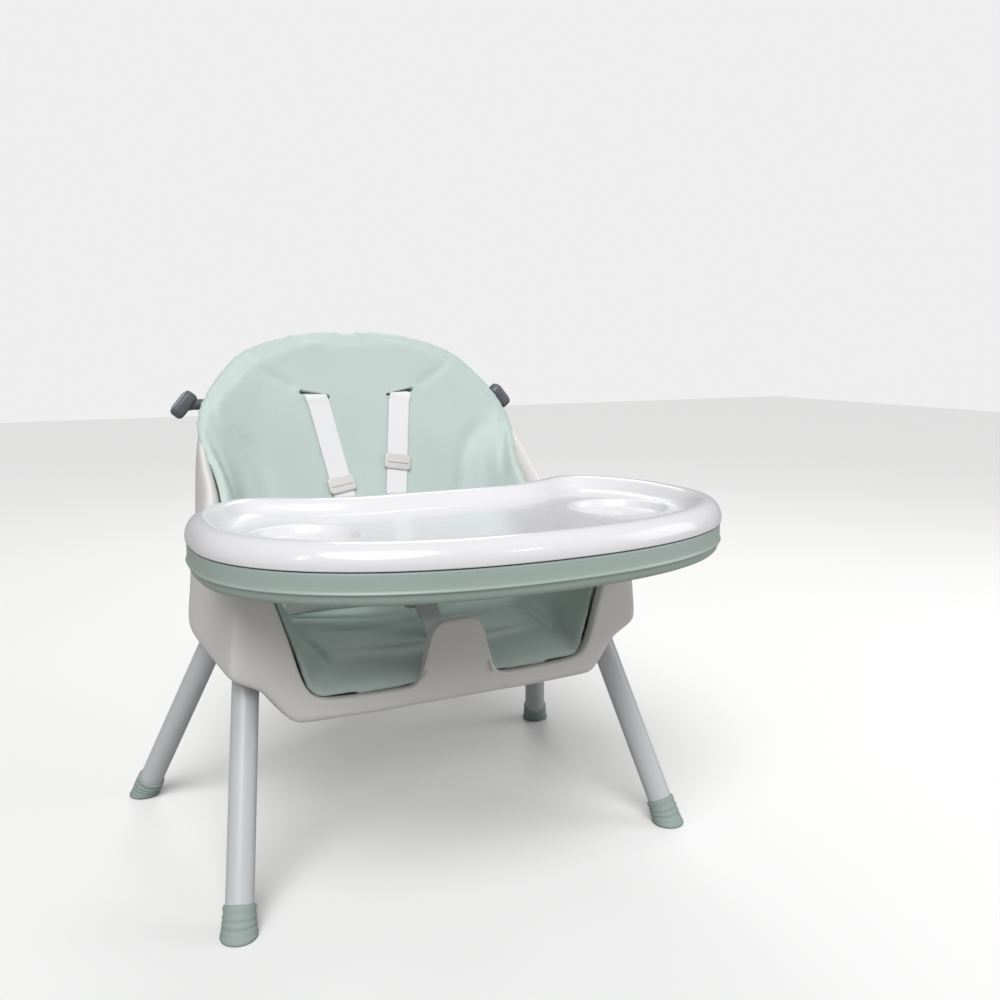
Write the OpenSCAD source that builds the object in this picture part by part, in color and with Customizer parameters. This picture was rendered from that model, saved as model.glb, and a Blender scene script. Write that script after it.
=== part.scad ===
// Low baby high chair: tray with a lift-out insert, five-point harness,
// padded seat shell in an outer casing, and four splayed plug-in legs.
// The origin is on the floor, under the middle of the whole chair.
// +X is the chair's right as seen from the front, +Y is its back, +Z is up.

/* [Tray] */
// Overall width of the tray
tray_w = 504; // [480:2:510]
// Line across the tray where it is widest
tray_mid_y = -88; // [-92:1:-84]
// Reach of the tray in front of its widest line
tray_front = 167; // [160:1:175]
// Reach of the two rear lobes behind the widest line
tray_rear = 180; // [172:1:182]
// Depth of the scoop in the child's side
tray_scoop = 80; // [70:1:85]
// Height of the seam between tray and insert
seam_z = 341.5; // [341:0.5:343]
// Height of the tray's coloured band
band_h = 27; // [26:0.5:28]
// Height of the insert's rim above the seam
rim_h = 21; // [18:1:24]
// Radius of the cup recess
cup_r = 48; // [40:1:50]
// Depth of the cup recess below the insert's floor
cup_depth = 9.5; // [8:0.5:10]

/* [Shells] */
// Wall of the outer casing
casing_wall = 3.5; // [3:0.5:4]
// Wall of the seat shell
shell_wall = 3; // [2.5:0.5:3.5]
// Thickness of the padding on the back
pad_t = 20; // [16:1:22]
// Thickness of the padding on the seat
seat_pad_t = 13; // [10:1:15]
// Thickness of the padding on the side walls
side_pad_t = 9; // [6:1:12]

/* [Legs] */
// Outside diameter of a leg tube
leg_d = 25; // [22:1:25]
// Wall of a leg tube
leg_wall = 1.5; // [1:0.1:2]
// Sideways place of a front foot
front_foot_x = 230; // [225:1:235]
// Sideways place of a rear foot
rear_foot_x = 256; // [250:1:258]
// Height of a foot cap
foot_h = 24; // [18:1:30]

/* [Harness] */
// Width of the webbing
web_w = 25; // [20:1:28]
// Thickness of the webbing
web_t = 1.6; // [1.2:0.1:2]
// Height of the shoulder slots
slot_z = 450; // [440:1:455]

/* [Travel] */
// Travel of the tray's release handle
handle_pull = 10; // [8:1:10]
// Travel of each latch rod for the handle's full pull
rod_pull = 6; // [5:1:6]

/* [Hidden] */
$fn = 48;

white = [0.88, 0.88, 0.89];
mint = [0.64, 0.69, 0.67];
mint_pad = [0.73, 0.79, 0.77];
webbing = [0.84, 0.84, 0.85];
grey = [0.40, 0.42, 0.44];
steel = [0.72, 0.73, 0.75];
eps = 0.01;

// ---- helpers ----------------------------------------------------------

function unit(v) = v / norm(v);
function mix(a, b, t) = a + (b - a) * t;
function flip_x(p, side) = [p[0] * side, p[1], p[2]];

// Point at t between b and c on a smooth curve through a, b, c and d
function curve(a, b, c, d, t) =
    (2 * b + (c - a) * t + (2 * a - 5 * b + 4 * c - d) * t * t
    + (3 * b - a - 3 * c + d) * t * t * t) / 2;

// Point at place s, counted in stations, on the smooth curve through a list
function along(list, s) =
    let (last = len(list) - 1, i = min(floor(s), last - 1))
    curve(list[max(i - 1, 0)], list[i], list[i + 1], list[min(i + 2, last)], s - i);

function grid_normal(g, i, j) =
    unit(cross(
        g[min(i + 1, len(g) - 1)][j] - g[max(i - 1, 0)][j],
        g[i][min(j + 1, len(g[0]) - 1)] - g[i][max(j - 1, 0)]));

// Faces that close a grid of points and its twin into one solid
function sheet_faces(rows, cols) =
    let (n = rows * cols)
    [
        for (i = [0:rows - 2], j = [0:cols - 2])
            let (a = i * cols + j, b = a + 1, c = a + cols, d = c + 1)
            each [[a, b, d], [a, d, c], [n + a, n + d, n + b], [n + a, n + c, n + d]],
        for (j = [0:cols - 2])
            let (a = j, b = j + 1, c = (rows - 1) * cols + j, d = c + 1)
            each [[b, a, n + a], [b, n + a, n + b], [c, d, n + d], [c, n + d, n + c]],
        for (i = [0:rows - 2])
            let (a = i * cols, c = a + cols, b = a + cols - 1, d = b + cols)
            each [[a, c, n + c], [a, n + c, n + a], [d, b, n + b], [d, n + b, n + d]]
    ];

// Solid between two offsets of a grid surface; each offset is a function of i and j
module sheet(g, near, far) {
    points = [
        for (offset = [near, far], i = [0:len(g) - 1], j = [0:len(g[0]) - 1])
            g[i][j] + offset(i, j) * grid_normal(g, i, j)
    ];
    polyhedron(points, sheet_faces(len(g), len(g[0])), convexity = 8);
}

// Cylinder between two points
module rod(from, to, r) {
    v = to - from;
    translate(from)
        rotate([0, acos(v[2] / norm(v)), atan2(v[1], v[0])])
            cylinder(h = norm(v), r = r);
}

// Box with its long edges rounded, centred in x and y, standing on z = 0
module round_box(size, r) {
    linear_extrude(size[2])
        union() {
            square([size[0] - 2 * r, size[1]], center = true);
            square([size[0], size[1] - 2 * r], center = true);
            for (x = [-1, 1], y = [-1, 1])
                translate([x * (size[0] / 2 - r), y * (size[1] / 2 - r)])
                    circle(r = r);
        }
}

module mirrored() {
    children();
    mirror([1, 0, 0]) children();
}

module on_side(side) {
    if (side < 0) mirror([1, 0, 0]) children();
    else children();
}

// ---- tray outline -----------------------------------------------------

// Roundness of the front and rear halves; 2 would be an ellipse
front_power = 2.2;
rear_power = 2.65;
scoop_half = 190;
outline_points = 96;

function lobe(c, power) = sign(c) * pow(abs(c), 2 / power);
function scoop(x) =
    abs(x) < scoop_half ? tray_scoop * pow(1 - pow(x / scoop_half, 4), 2) : 0;

// Point of the tray's outline at angle a, drawn in by inset
function tray_point(a, inset) =
    let (
        front = sin(a) < 0,
        power = front ? front_power : rear_power,
        x = (tray_w / 2 - inset) * lobe(cos(a), power),
        reach = (front ? tray_front : tray_rear) - inset)
    [x, tray_mid_y + reach * lobe(sin(a), power) - (front ? 0 : scoop(x))];

function tray_outline(inset) =
    [for (k = [0:outline_points - 1]) tray_point((k + 0.5) * 360 / outline_points, inset)];

module tray_slab(inset, z0, z1) {
    translate([0, 0, z0])
        linear_extrude(z1 - z0) polygon(tray_outline(inset));
}

module tray_ring(outer, inner, z0, z1) {
    translate([0, 0, z0])
        linear_extrude(z1 - z0)
            difference() {
                polygon(tray_outline(outer));
                polygon(tray_outline(inner));
            }
}

// ---- tray heights and rail section -------------------------------------

band_bottom = seam_z - band_h;
lip_z = band_bottom + 10;
deck_top = seam_z - 6;
deck_t = 2.5;
deck_under = deck_top - deck_t;
floor_top = seam_z + 6.5;
floor_t = 2.5;
cup_x = 160;
cup_y = -92;

rail_x = 203;
rail_half = 14.5;
rail_z0 = 319.5;
rail_z1 = 325.5;
rail_y0 = -48;
rail_y1 = 24;
stem_half = 9;
channel_half = 20;
channel_y0 = -58;
channel_y1 = 8;
channel_top = 329;
channel_wall = 3;
lip_z0 = 316;
lip_z1 = 318.5;
lip_reach = 9;
rod_y = -30;
rod_z0 = 320;
rod_z1 = 325;
rod_half = 4;
tip_x = rail_x - rail_half - 0.5;
notch_pitch = 25;
screw_r = 1.5;
screw_y = [-50, 0];
cover_screws = [[138, -40], [-138, -40], [0, -60], [0, -190]];

module tray_base() {
    color(mint)
        difference() {
            union() {
                tray_ring(1, 4, lip_z, seam_z - 0.5);
                tray_ring(3, 6, band_bottom, lip_z + eps);
                tray_slab(3.5, deck_under, deck_top);
                for (side = [-1, 1], y = screw_y)
                    translate([side * rail_x, y, deck_top - eps]) cylinder(h = 7, r = 4);
                for (p = cover_screws)
                    translate([p[0], p[1], channel_top]) cylinder(h = deck_under - channel_top + eps, r = 4);
                for (p = cover_screws)
                    translate([p[0], p[1], deck_top - eps]) cylinder(h = 7, r = 4);
            }
            for (side = [-1, 1])
                translate([side * rail_x - rail_half - 2.5, channel_y1 + 1, band_bottom - 1])
                    cube([2 * rail_half + 5, 60, rail_z1 + 3 - band_bottom]);
            for (side = [-1, 1], y = screw_y)
                translate([side * rail_x, y, deck_under - 1]) cylinder(h = 9.8, r = screw_r + 0.1);
            for (p = cover_screws)
                translate([p[0], p[1], channel_top - 1]) cylinder(h = 13.8, r = screw_r + 0.1);
        }
}

// The insert's rim as level rings: outer and inner inset, bottom and top above the seam
rim_steps = [
    [0, 3, 0.3, 9], [0.8, 40, 9, 13], [4, 38, 13, 17.5], [9, 34, 17.5, 20], [14, 28, 20, 21]
];

module tray_insert() {
    color(white)
        difference() {
            union() {
                for (s = rim_steps)
                    tray_ring(s[0], s[1], seam_z + s[2], seam_z + min(s[3], rim_h) + eps);
                tray_ring(36, 40, floor_top - eps, seam_z + 10);
                tray_slab(36, floor_top - floor_t, floor_top);
                mirrored()
                    translate([cup_x, cup_y, floor_top - cup_depth - floor_t])
                        cylinder(h = cup_depth + 1, r = cup_r + 2.5, $fn = 96);
            }
            mirrored()
                translate([cup_x, cup_y, floor_top - cup_depth])
                    cylinder(h = cup_depth + 30, r = cup_r, $fn = 96);
        }
}

module tray_channel(side) {
    color(white)
        on_side(side)
            difference() {
                translate([rail_x - channel_half, channel_y0, lip_z0])
                    cube([2 * channel_half, channel_y1 - channel_y0, deck_under - lip_z0]);
                translate([rail_x - channel_half + channel_wall, channel_y0 - 1, lip_z1])
                    cube([2 * (channel_half - channel_wall), 100, channel_top - lip_z1]);
                translate([rail_x - channel_half + lip_reach, channel_y0 - 1, lip_z0 - 1])
                    cube([2 * (channel_half - lip_reach), 100, 10]);
                translate([rail_x - channel_half - 1, rod_y - rod_half - 0.4, rod_z0 - 0.4])
                    cube([channel_wall + 2, 2 * rod_half + 0.8, rod_z1 - rod_z0 + 0.8]);
                for (y = screw_y)
                    translate([rail_x, y, channel_top - 1]) cylinder(h = 10, r = screw_r + 0.1);
            }
}

module screw(p, head_z, length) {
    translate([p[0], p[1], head_z])
        union() {
            translate([0, 0, -2]) cylinder(h = 2, r = 3);
            translate([0, 0, -eps]) cylinder(h = length, r = screw_r);
        }
}

cover_z0 = band_bottom;
cover_t = 2;
cover_arm = 177;
cover_half = 18;
cover_y0 = -200;
cover_stem = 32;

module cover_outline(grow) {
    union() {
        translate([-cover_arm - grow, rod_y - cover_half - grow])
            square([2 * (cover_arm + grow), 2 * (cover_half + grow)]);
        translate([-cover_stem - grow, cover_y0 - grow])
            square([2 * (cover_stem + grow), rod_y - cover_y0]);
    }
}

// Closed underneath, open at the rod ends and at the front for the handle
module latch_cover() {
    color(mint)
        difference() {
            translate([0, 0, cover_z0])
                linear_extrude(deck_under - cover_z0 - 0.2) cover_outline(0);
            difference() {
                translate([0, 0, cover_z0 + cover_t])
                    linear_extrude(30) cover_outline(-2);
                for (p = cover_screws)
                    translate([p[0], p[1], cover_z0]) cylinder(h = channel_top - cover_z0 - 0.2, r = 5);
            }
            translate([-cover_arm - 1, rod_y - rod_half - 0.5, rod_z0 - 0.5])
                cube([2 * cover_arm + 2, 2 * rod_half + 1, rod_z1 - rod_z0 + 1]);
            translate([-stem_w / 2 - 0.5, cover_y0 - 1, handle_z0 - 0.4])
                cube([stem_w + 1, 4, stem_t + 0.8]);
            for (p = cover_screws)
                translate([p[0], p[1], cover_z0 - 1]) {
                    cylinder(h = 20, r = screw_r + 0.1);
                    cylinder(h = 3.2, r = 3.3);
                }
        }
}

module tray_screws() {
    color(steel) {
        for (side = [-1, 1], y = screw_y)
            screw([side * rail_x, y], channel_top, 12);
        for (p = cover_screws)
            screw(p, cover_z0 + 2.2, 24);
    }
}

handle_z0 = 317.2;
stem_w = 20;
stem_t = 2.2;
grip_y = -236;
grip_w = 88;
grip_d = 12;
grip_h = 15;
pin_x = 20;
pin_r = 2.2;
plate_half = 25;
plate_front = 9;
plate_d = 24;

// Slot that turns the handle's pull into the rods' inward travel, with round ends
module cam_slot(side) {
    r = pin_r + 0.3;
    run = [-side * rod_pull, handle_pull];
    way = atan2(run[1], run[0]);
    translate([side * pin_x, rod_y, handle_z0 - 1])
        rotate([0, 0, way])
            linear_extrude(stem_t + 2)
                polygon([
                    for (a = [-90:15:90]) [norm(run) + r * cos(a), r * sin(a)],
                    for (a = [90:15:270]) r * [cos(a), sin(a)]
                ]);
}

// Flat stem under the tray, a cross plate with two cam slots and a grip at the front
module release_handle() {
    plate_y = rod_y - plate_front;
    screw_slot = 12;
    color(mint)
        difference() {
            union() {
                translate([-stem_w / 2, grip_y + grip_d / 2, handle_z0])
                    cube([stem_w, plate_y + 1 - grip_y - grip_d / 2, stem_t]);
                translate([-plate_half, plate_y, handle_z0])
                    cube([2 * plate_half, plate_d, stem_t]);
                translate([-grip_w / 2, grip_y, cover_z0 + 1])
                    cube([grip_w, grip_d, grip_h]);
            }
            for (side = [-1, 1]) cam_slot(side);
            for (p = [cover_screws[2], cover_screws[3]])
                translate([p[0] - screw_slot / 2, p[1] - screw_slot / 2, handle_z0 - 1])
                    cube([screw_slot, screw_slot + handle_pull, stem_t + 2]);
        }
}

module latch_rod(side) {
    color(white)
        on_side(side) {
            translate([pin_x - 6, rod_y - rod_half, rod_z0])
                cube([tip_x - pin_x + 6, 2 * rod_half, rod_z1 - rod_z0]);
            translate([pin_x, rod_y, handle_z0])
                cylinder(h = rod_z0 - handle_z0 + 1, r = pin_r);
        }
}

module handle_spring() {
    color(steel)
        rod([-pin_x + 7, rod_y, (rod_z0 + rod_z1) / 2], [pin_x - 7, rod_y, (rod_z0 + rod_z1) / 2], 2);
}

// Armrest cap with the rail that the tray's channel grips, notched on its inner edge
module armrest(side) {
    color(white)
        on_side(side)
            difference() {
                union() {
                    translate([rail_x - stem_half, rail_y0, rim_z + 0.3])
                        cube([2 * stem_half, rail_y1 - rail_y0, rail_z0 - rim_z]);
                    translate([rail_x - rail_half, rail_y0, rail_z0])
                        cube([2 * rail_half, rail_y1 - rail_y0, rail_z1 - rail_z0]);
                    translate([rail_x - 0.5, 6, rim_z + 0.3])
                        round_box([19, 100, 4], 9);
                }
                for (k = [0:2])
                    translate([rail_x - rail_half - 1, rod_y - rod_half - 0.5 + k * notch_pitch, rail_z0 - 1])
                        cube([5, 2 * rod_half + 1, 10]);
            }
}

// ---- seat shell ---------------------------------------------------------

rim_z = 312;
// Stations from the front lip, along the seat and up the back:
// spine y and z, then half width of the flat part
spine = [
    [-40, 182, 146], [-28, 196, 144], [0, 203, 140], [60, 202, 140], [115, 200, 142],
    [147, 205, 142], [165, 230, 140], [174, 260, 140], [192, 320, 145], [213, 390, 146],
    [228, 440, 128], [240, 480, 92], [246, 500, 42], [247.5, 505.5, 8]
];
// Edge of the shell at the same stations
rim = [
    [187, -40, rim_z], [188, -28, rim_z], [189, 0, rim_z], [191, 50, rim_z], [191, 84, 315],
    [190, 98, 329], [187, 115, 347], [185.5, 134, 366], [186, 162, 390], [180, 197, 420],
    [158, 219, 455], [120, 236, 487], [62, 245, 503.5], [12, 247.5, 508]
];
// Lower edge of the skirt that turns down or back from the rim
skirt = [
    [213.5, -40, 310.4], [213.5, -28, 310.4], [213.5, 0, 310.4], [213.5, 50, 310.4], [213.5, 88, 310.4],
    [213, 110, 310.4], [211, 132, 310.8], [203, 154, 311.4], [196, 182, 340], [186, 206, 392],
    [164, 228, 440], [124, 245, 480], [64, 254, 499], [14, 256, 503.5]
];
// Radius between the shell's floor or back and its side wall
corner_r = [14, 15, 16, 17, 19, 23, 28, 30, 30, 30, 30, 30, 30, 30];
// Width of the flat ledge on the rim
ledge = [24, 23, 22, 20, 17, 13, 10, 8, 6, 4, 3, 2, 1, 1];

// Right half of the shell's section at station s, from the middle outwards
function half_section(s, wall_end) =
    let (
        b = along(spine, s),
        r = along(rim, s),
        k = [b[2], b[0], b[1]],
        w = r - k,
        c = min(along(corner_r, s), 0.6 * b[2], 0.45 * norm(w)),
        a = k - [c, 0, 0],
        e = k + unit(w) * c)
    [
        [b[2] * 0.3, b[0], b[1]],
        [b[2] * 0.6, b[0], b[1]],
        for (t = [0:0.25:1]) a * pow(1 - t, 2) + k * 2 * t * (1 - t) + e * pow(t, 2),
        mix(e, r, wall_end / 2),
        mix(e, r, wall_end)
    ];

function edge_section(s) =
    let (r = along(rim, s), q = r + [along(ledge, s), 1, -0.5], k = along(skirt, s))
    [q, mix(q, k, 0.5) + [0.8, 0, 0], k];

function both_sides(half, middle) =
    [for (k = [len(half) - 1:-1:0]) flip_x(half[k], -1), middle, each half];

function shell_row(s) =
    both_sides([each half_section(s, 1), each edge_section(s)],
        [0, along(spine, s)[0], along(spine, s)[1]]);

function pad_row(s) =
    both_sides(half_section(s, 0.9), [0, along(spine, s)[0], along(spine, s)[1]]);

shell_stations = [for (s = [0:0.5:13]) s];
shell_grid = [for (s = shell_stations) shell_row(s)];
seat_grid = [for (s = [0.3:0.37:4.4]) pad_row(s)];
back_grid = [for (s = [5:0.52:12.8]) pad_row(s)];

// Plane of the back pad's face, as y at a height, and its lean
back_lean = atan(0.3);
function pad_face_y(z) = 138 + 0.3 * (z - 225);

slot_x = 52;
// Lean of a shoulder slot; its outer end is the higher one
slot_tilt = 12;
module shoulder_slots(grow) {
    mirrored()
        translate([slot_x, pad_face_y(slot_z), slot_z])
            rotate([-back_lean, 0, 0])
                rotate([0, -slot_tilt, 0])
                    cube([36 + grow, 90, 5 + grow], center = true);
}

module seat_shell() {
    color(white)
        difference() {
            sheet(shell_grid, function(i, j) 0, function(i, j) shell_wall);
            shoulder_slots(2);
        }
}

// Cover that closes the hollow crotch post from behind
post_cover_edge = [[38, 186], [35, 200], [30, 226], [24, 238], [15, 242]];
module post_cover() {
    color(white)
        translate([0, -44.5, 0])
            rotate([90, 0, 0])
                linear_extrude(3)
                    polygon([
                        each [for (p = post_cover_edge) [p[0] - 1, p[1]]],
                        each [for (k = [len(post_cover_edge) - 1:-1:0])
                            [1 - post_cover_edge[k][0], post_cover_edge[k][1]]]
                    ]);
}

function pad_far(g, middle_t) = function(i, j)
    let (side = abs(j - (len(g[0]) - 1) / 2) / ((len(g[0]) - 1) / 2))
    -mix(middle_t, side_pad_t, smooth(max(0, (side - 0.45) / 0.55)));
function smooth(t) = t * t * (3 - 2 * t);

module seat_cushion() {
    color(mint_pad)
        difference() {
            sheet(seat_grid, pad_far(seat_grid, seat_pad_t), function(i, j) -1.5);
            translate([-44, -60, 150]) cube([88, 30, 120]);
            translate([-web_w / 2 - 1, -14, 190]) cube([web_w + 2, 6, 50]);
        }
}

module back_cushion() {
    color(mint_pad)
        difference() {
            sheet(back_grid, pad_far(back_grid, pad_t + 2), function(i, j) -1.5);
            shoulder_slots(0);
        }
}

// ---- outer casing -------------------------------------------------------

// Front view, right half: edge of the leg opening and post, from the middle outwards
opening_edge = [
    [0, 247], [16, 246], [25, 240], [30, 226], [34, 208], [38, 194], [45, 186], [60, 184],
    [95, 184], [128, 185], [143, 190], [151, 201], [157, 218], [163, 240], [169, 259],
    [175, 278], [181, 296], [185, 309]
];
// Outside of the casing that each of those points is joined to
side_edge = [
    [0, 163], [16, 163], [28, 163], [38, 163], [48, 163], [58, 163], [70, 163], [84, 163],
    [116, 163], [148, 163], [162, 165], [176, 180], [190, 198], [213, 209], [218, 220],
    [215, 250], [213, 280], [212, 308]
];
front_y = -60;
// How far back the front face has curved at a distance x from the middle
function face_y(x) = front_y + 0.00023 * x * x;
casing_back = 195;
back_round = 80;
back_shrink = 0.36;
back_top = 292;

// One line of the casing's surface, from the lip of the opening out and back
function casing_line(i_edge, o_edge) =
    let (
        way = o_edge - i_edge,
        dir = unit([way[0], 0, way[1]]),
        length = norm(way),
        inner = [i_edge[0], face_y(i_edge[0]), i_edge[1]],
        outer = [o_edge[0], face_y(o_edge[0]), o_edge[1]],
        hub = [0.6 * o_edge[0], 0, back_top])
    [
        inner + [0, 11, 0],
        inner + [0, 5, 0],
        inner + 1.4 * dir + [0, 1.4, 0],
        inner + 5 * dir,
        mix(inner, outer, 0.5),
        outer - min(10, 0.4 * length) * dir,
        outer - 3 * dir + [0, 3, 0],
        outer + [0, 10, 0],
        [outer[0], 10, outer[2]],
        [outer[0], 60, outer[2]],
        for (a = [0, 30, 60, 90])
            let (p = mix(outer, hub, back_shrink * (1 - cos(a))))
            [p[0], casing_back - back_round + back_round * sin(a), p[2]],
        for (t = [0.68, 0.98])
            let (p = mix(outer, hub, t))
            [p[0], casing_back, p[2]]
    ];

half_lines = [
    for (k = [0:len(side_edge) - 1])
        casing_line(opening_edge[k], side_edge[k])
];
casing_grid = [
    for (k = [len(half_lines) - 1:-1:1])
        [for (p = half_lines[k]) flip_x(p, -1)],
    each half_lines
];

module base_shell() {
    color(white)
        difference() {
            sheet(casing_grid, function(i, j) 0, function(i, j) casing_wall);
            for (leg = LEGS) {
                rod(leg_at(leg, 150), leg_at(leg, socket_top), leg_d / 2 + 0.8);
                rod(leg_at(leg, socket_bottom - 1), leg_at(leg, socket_top + 6), socket_r + 0.4);
                rod(button_at(leg, 0), button_at(leg, 60), button_r + 0.5);
            }
        }
}

// ---- legs ---------------------------------------------------------------

// side, foot and the place where the leg passes the height of the casing's floor
joint_z = 169;
LEGS = [
    [-1, [front_foot_x, -97, 0], [199, -19, joint_z]],
    [1, [front_foot_x, -97, 0], [199, -19, joint_z]],
    [-1, [rear_foot_x, 238, 0], [203, 148, joint_z]],
    [1, [rear_foot_x, 238, 0], [203, 148, joint_z]]
];
socket_bottom = 206;
socket_top = 236;
socket_r = leg_d / 2 + 3.5;
tube_top = 232;
tube_bottom = 10;
button_z = 216;
button_r = 5;
button_end = 26;

function leg_at(leg, z) = flip_x(mix(leg[1], leg[2], z / joint_z), leg[0]);
function leg_axis(leg) = unit(leg_at(leg, joint_z) - leg_at(leg, 0));
// Way from the tube out to the casing's sloping floor, square to the leg
function button_way(leg) =
    let (g = [-leg[0] * 0.77, 0, -0.64], u = leg_axis(leg))
    unit(g - (g * u) * u);
function button_at(leg, d) = leg_at(leg, button_z) + d * button_way(leg);

module leg_tube(leg) {
    color(steel)
        difference() {
            rod(leg_at(leg, tube_bottom), leg_at(leg, tube_top), leg_d / 2);
            rod(leg_at(leg, tube_bottom - 5), leg_at(leg, tube_top + 5), leg_d / 2 - leg_wall);
            rod(button_at(leg, 0), button_at(leg, 40), button_r + 0.3);
        }
}

module leg_socket(leg) {
    color(white)
        difference() {
            rod(leg_at(leg, socket_bottom), leg_at(leg, socket_top + 4), socket_r);
            rod(leg_at(leg, socket_bottom - 5), leg_at(leg, tube_top + 0.5), leg_d / 2 + 0.3);
            rod(button_at(leg, 0), button_at(leg, 40), button_r + 0.3);
        }
}

// Rubber cap, flat on the floor and square to the leg at its top
module foot_cap(leg) {
    foot = leg_at(leg, 0);
    color(mint)
        difference() {
            hull() {
                translate([foot[0], foot[1], 0]) cylinder(h = 3, r = leg_d / 2 + 4, $fn = 32);
                rod(leg_at(leg, foot_h - 2), leg_at(leg, foot_h), leg_d / 2 + 2.5, $fn = 32);
            }
            rod(leg_at(leg, tube_bottom - 1), leg_at(leg, foot_h + 20), leg_d / 2 + 0.2);
        }
}

// Plunger that pushes the leg's snap pin back so that the leg can be pulled out
module leg_button(leg) {
    color(grey)
        rod(button_at(leg, leg_d / 2 - 1), button_at(leg, button_end), button_r);
}

// ---- harness --------------------------------------------------------------

// Band of webbing along a smooth curve; each station gives a point and the band's width direction
module band(points, across, steps) {
    n = (len(points) - 1) * steps;
    g = [
        for (k = [0:n])
            let (
                p = along(points, k / steps),
                w = unit(along(across, k / steps)) * web_w / 2)
            [p - w, p, p + w]
    ];
    sheet(g, function(i, j) 0, function(i, j) web_t);
}

strap_gap = 2.5;
function strap_y(z) = pad_face_y(z) - strap_gap / cos(back_lean);
strap_top = [50, strap_y(446), 446];
strap_low = [33, strap_y(345), 345];

module shoulder_strap(side) {
    points = [
        for (p = [strap_top, mix(strap_top, strap_low, 0.4), mix(strap_top, strap_low, 0.8), strap_low,
                mix(strap_top, strap_low, 1.08), mix(strap_top, strap_low, 1.16),
                [27, 132, 312], [21, 90, 290], [16, 62, 279]])
            flip_x(p, side)
    ];
    color(webbing)
        band(points, [for (p = points) [1, 0, 0]], 5);
}

function strap_way(side) = unit(flip_x(strap_top - strap_low, side));
adjuster_h = 18;
module shoulder_adjuster(side) {
    mid = flip_x(mix(strap_low, strap_top, side < 0 ? 0.04 : 0.25), side);
    lean = atan2(strap_way(side)[0], strap_way(side)[2]);
    color(white)
        translate(mid)
            rotate([-back_lean, 0, 0])
                rotate([0, lean, 0])
                    difference() {
                        translate([0, -1.5, 0])
                            cube([web_w + 7, 6.2, adjuster_h], center = true);
                        translate([0, -0.8, 0])
                            cube([web_w + 1.8, web_t + 1.6, adjuster_h + 2], center = true);
                    }
}

buckle_mid = [0, 34, 262];
buckle_lean = 52;
buckle_w = 46;
buckle_h = 50;
buckle_t = 16;

module at_buckle() {
    translate(buckle_mid) rotate([buckle_lean, 0, 0]) children();
}

module buckle_body() {
    color(white)
        at_buckle()
            difference() {
                translate([0, 0, -buckle_t / 2]) round_box([buckle_w, buckle_h, buckle_t], 10);
                translate([0, -4, -3]) cylinder(h = 20, r = 10.3);
                translate([-8, buckle_h / 2 - 14, -2.2]) cube([16, 20, 4.4]);
                for (side = [-1, 1])
                    translate([side * 16 - 6, buckle_h / 2 - 14, -2.2]) cube([12, 20, 4.4]);
                translate([-web_w / 2 - 0.6, -buckle_h / 2 - 1, -4.4]) cube([web_w + 1.2, 12, 8.8]);
            }
}

module buckle_button() {
    color(grey)
        at_buckle() {
            translate([0, -4, 1.2]) cylinder(h = 8.3, r = 10);
        }
}

module buckle_tongue(side) {
    color(grey)
        at_buckle()
            on_side(side)
                difference() {
                    union() {
                        translate([10.6, buckle_h / 2 - 13, -1.8]) cube([10.8, 20, 3.6]);
                        translate([1, buckle_h / 2 + 4, -1.8]) cube([32, 14, 3.6]);
                    }
                    translate([4, buckle_h / 2 + 8, -3]) cube([26, 5, 6]);
                }
}

module waist_strap(side) {
    points = [
        for (p = [[118, 122, 232], [92, 104, 240], [66, 84, 252], [42, 66, 268], [34, 58, 277]])
            flip_x(p, side)
    ];
    across = [
        for (v = [[0.15, -0.1, 1], [0.3, 0.1, 1], [0.5, 0.4, 0.9], [0.6, 0.6, 0.6], [0.6, 0.7, 0.5]])
            flip_x(v, side)
    ];
    color(webbing) band(points, across, 4);
}

module crotch_strap() {
    points = [[0, -11, 212], [0, -9, 222], [0, 0, 229], [0, 12, 236], [0, 21.1, 246.7]];
    color(webbing)
        band(points, [for (p = points) [1, 0, 0]], 4);
}

// Three-bar plates behind the back that hold the shoulder straps' ends
module strap_anchors() {
    color(grey)
        mirrored()
            translate([slot_x, pad_face_y(slot_z) + 33, slot_z])
                rotate([-back_lean, 0, 0])
                    rotate([0, -slot_tilt, 0])
                        difference() {
                            cube([44, 2.5, 20], center = true);
                            for (z = [-5, 5])
                                translate([0, 0, z]) cube([30, 6, 4], center = true);
                        }
}

// Grey peg beside the back, where the tray hangs when it is put away
peg_mid = [194, 226, 441];
peg_tilt = 50;
module storage_peg(side) {
    color(grey)
        on_side(side) {
            translate(peg_mid)
                rotate([90, peg_tilt, 0])
                    translate([0, 0, -9]) round_box([32, 14, 18], 5);
            rod([163, 221, 441], [190, 226, 441], 6);
        }
}

base_shell();
post_cover();
seat_shell();
seat_cushion();
back_cushion();
armrest(-1);  // armrest_left
armrest(1);  // armrest_right
storage_peg(-1);  // storage_peg_left
storage_peg(1);  // storage_peg_right
leg_tube(LEGS[0]);  // leg_front_left
leg_tube(LEGS[1]);  // leg_front_right
leg_tube(LEGS[2]);  // leg_rear_left
leg_tube(LEGS[3]);  // leg_rear_right
leg_socket(LEGS[0]);  // leg_socket_front_left
leg_socket(LEGS[1]);  // leg_socket_front_right
leg_socket(LEGS[2]);  // leg_socket_rear_left
leg_socket(LEGS[3]);  // leg_socket_rear_right
foot_cap(LEGS[0]);  // foot_cap_front_left
foot_cap(LEGS[1]);  // foot_cap_front_right
foot_cap(LEGS[2]);  // foot_cap_rear_left
foot_cap(LEGS[3]);  // foot_cap_rear_right
leg_button(LEGS[0]);  // leg_button_front_left
leg_button(LEGS[1]);  // leg_button_front_right
leg_button(LEGS[2]);  // leg_button_rear_left
leg_button(LEGS[3]);  // leg_button_rear_right
tray_base();
tray_insert();
tray_channel(-1);  // tray_channel_left
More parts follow.
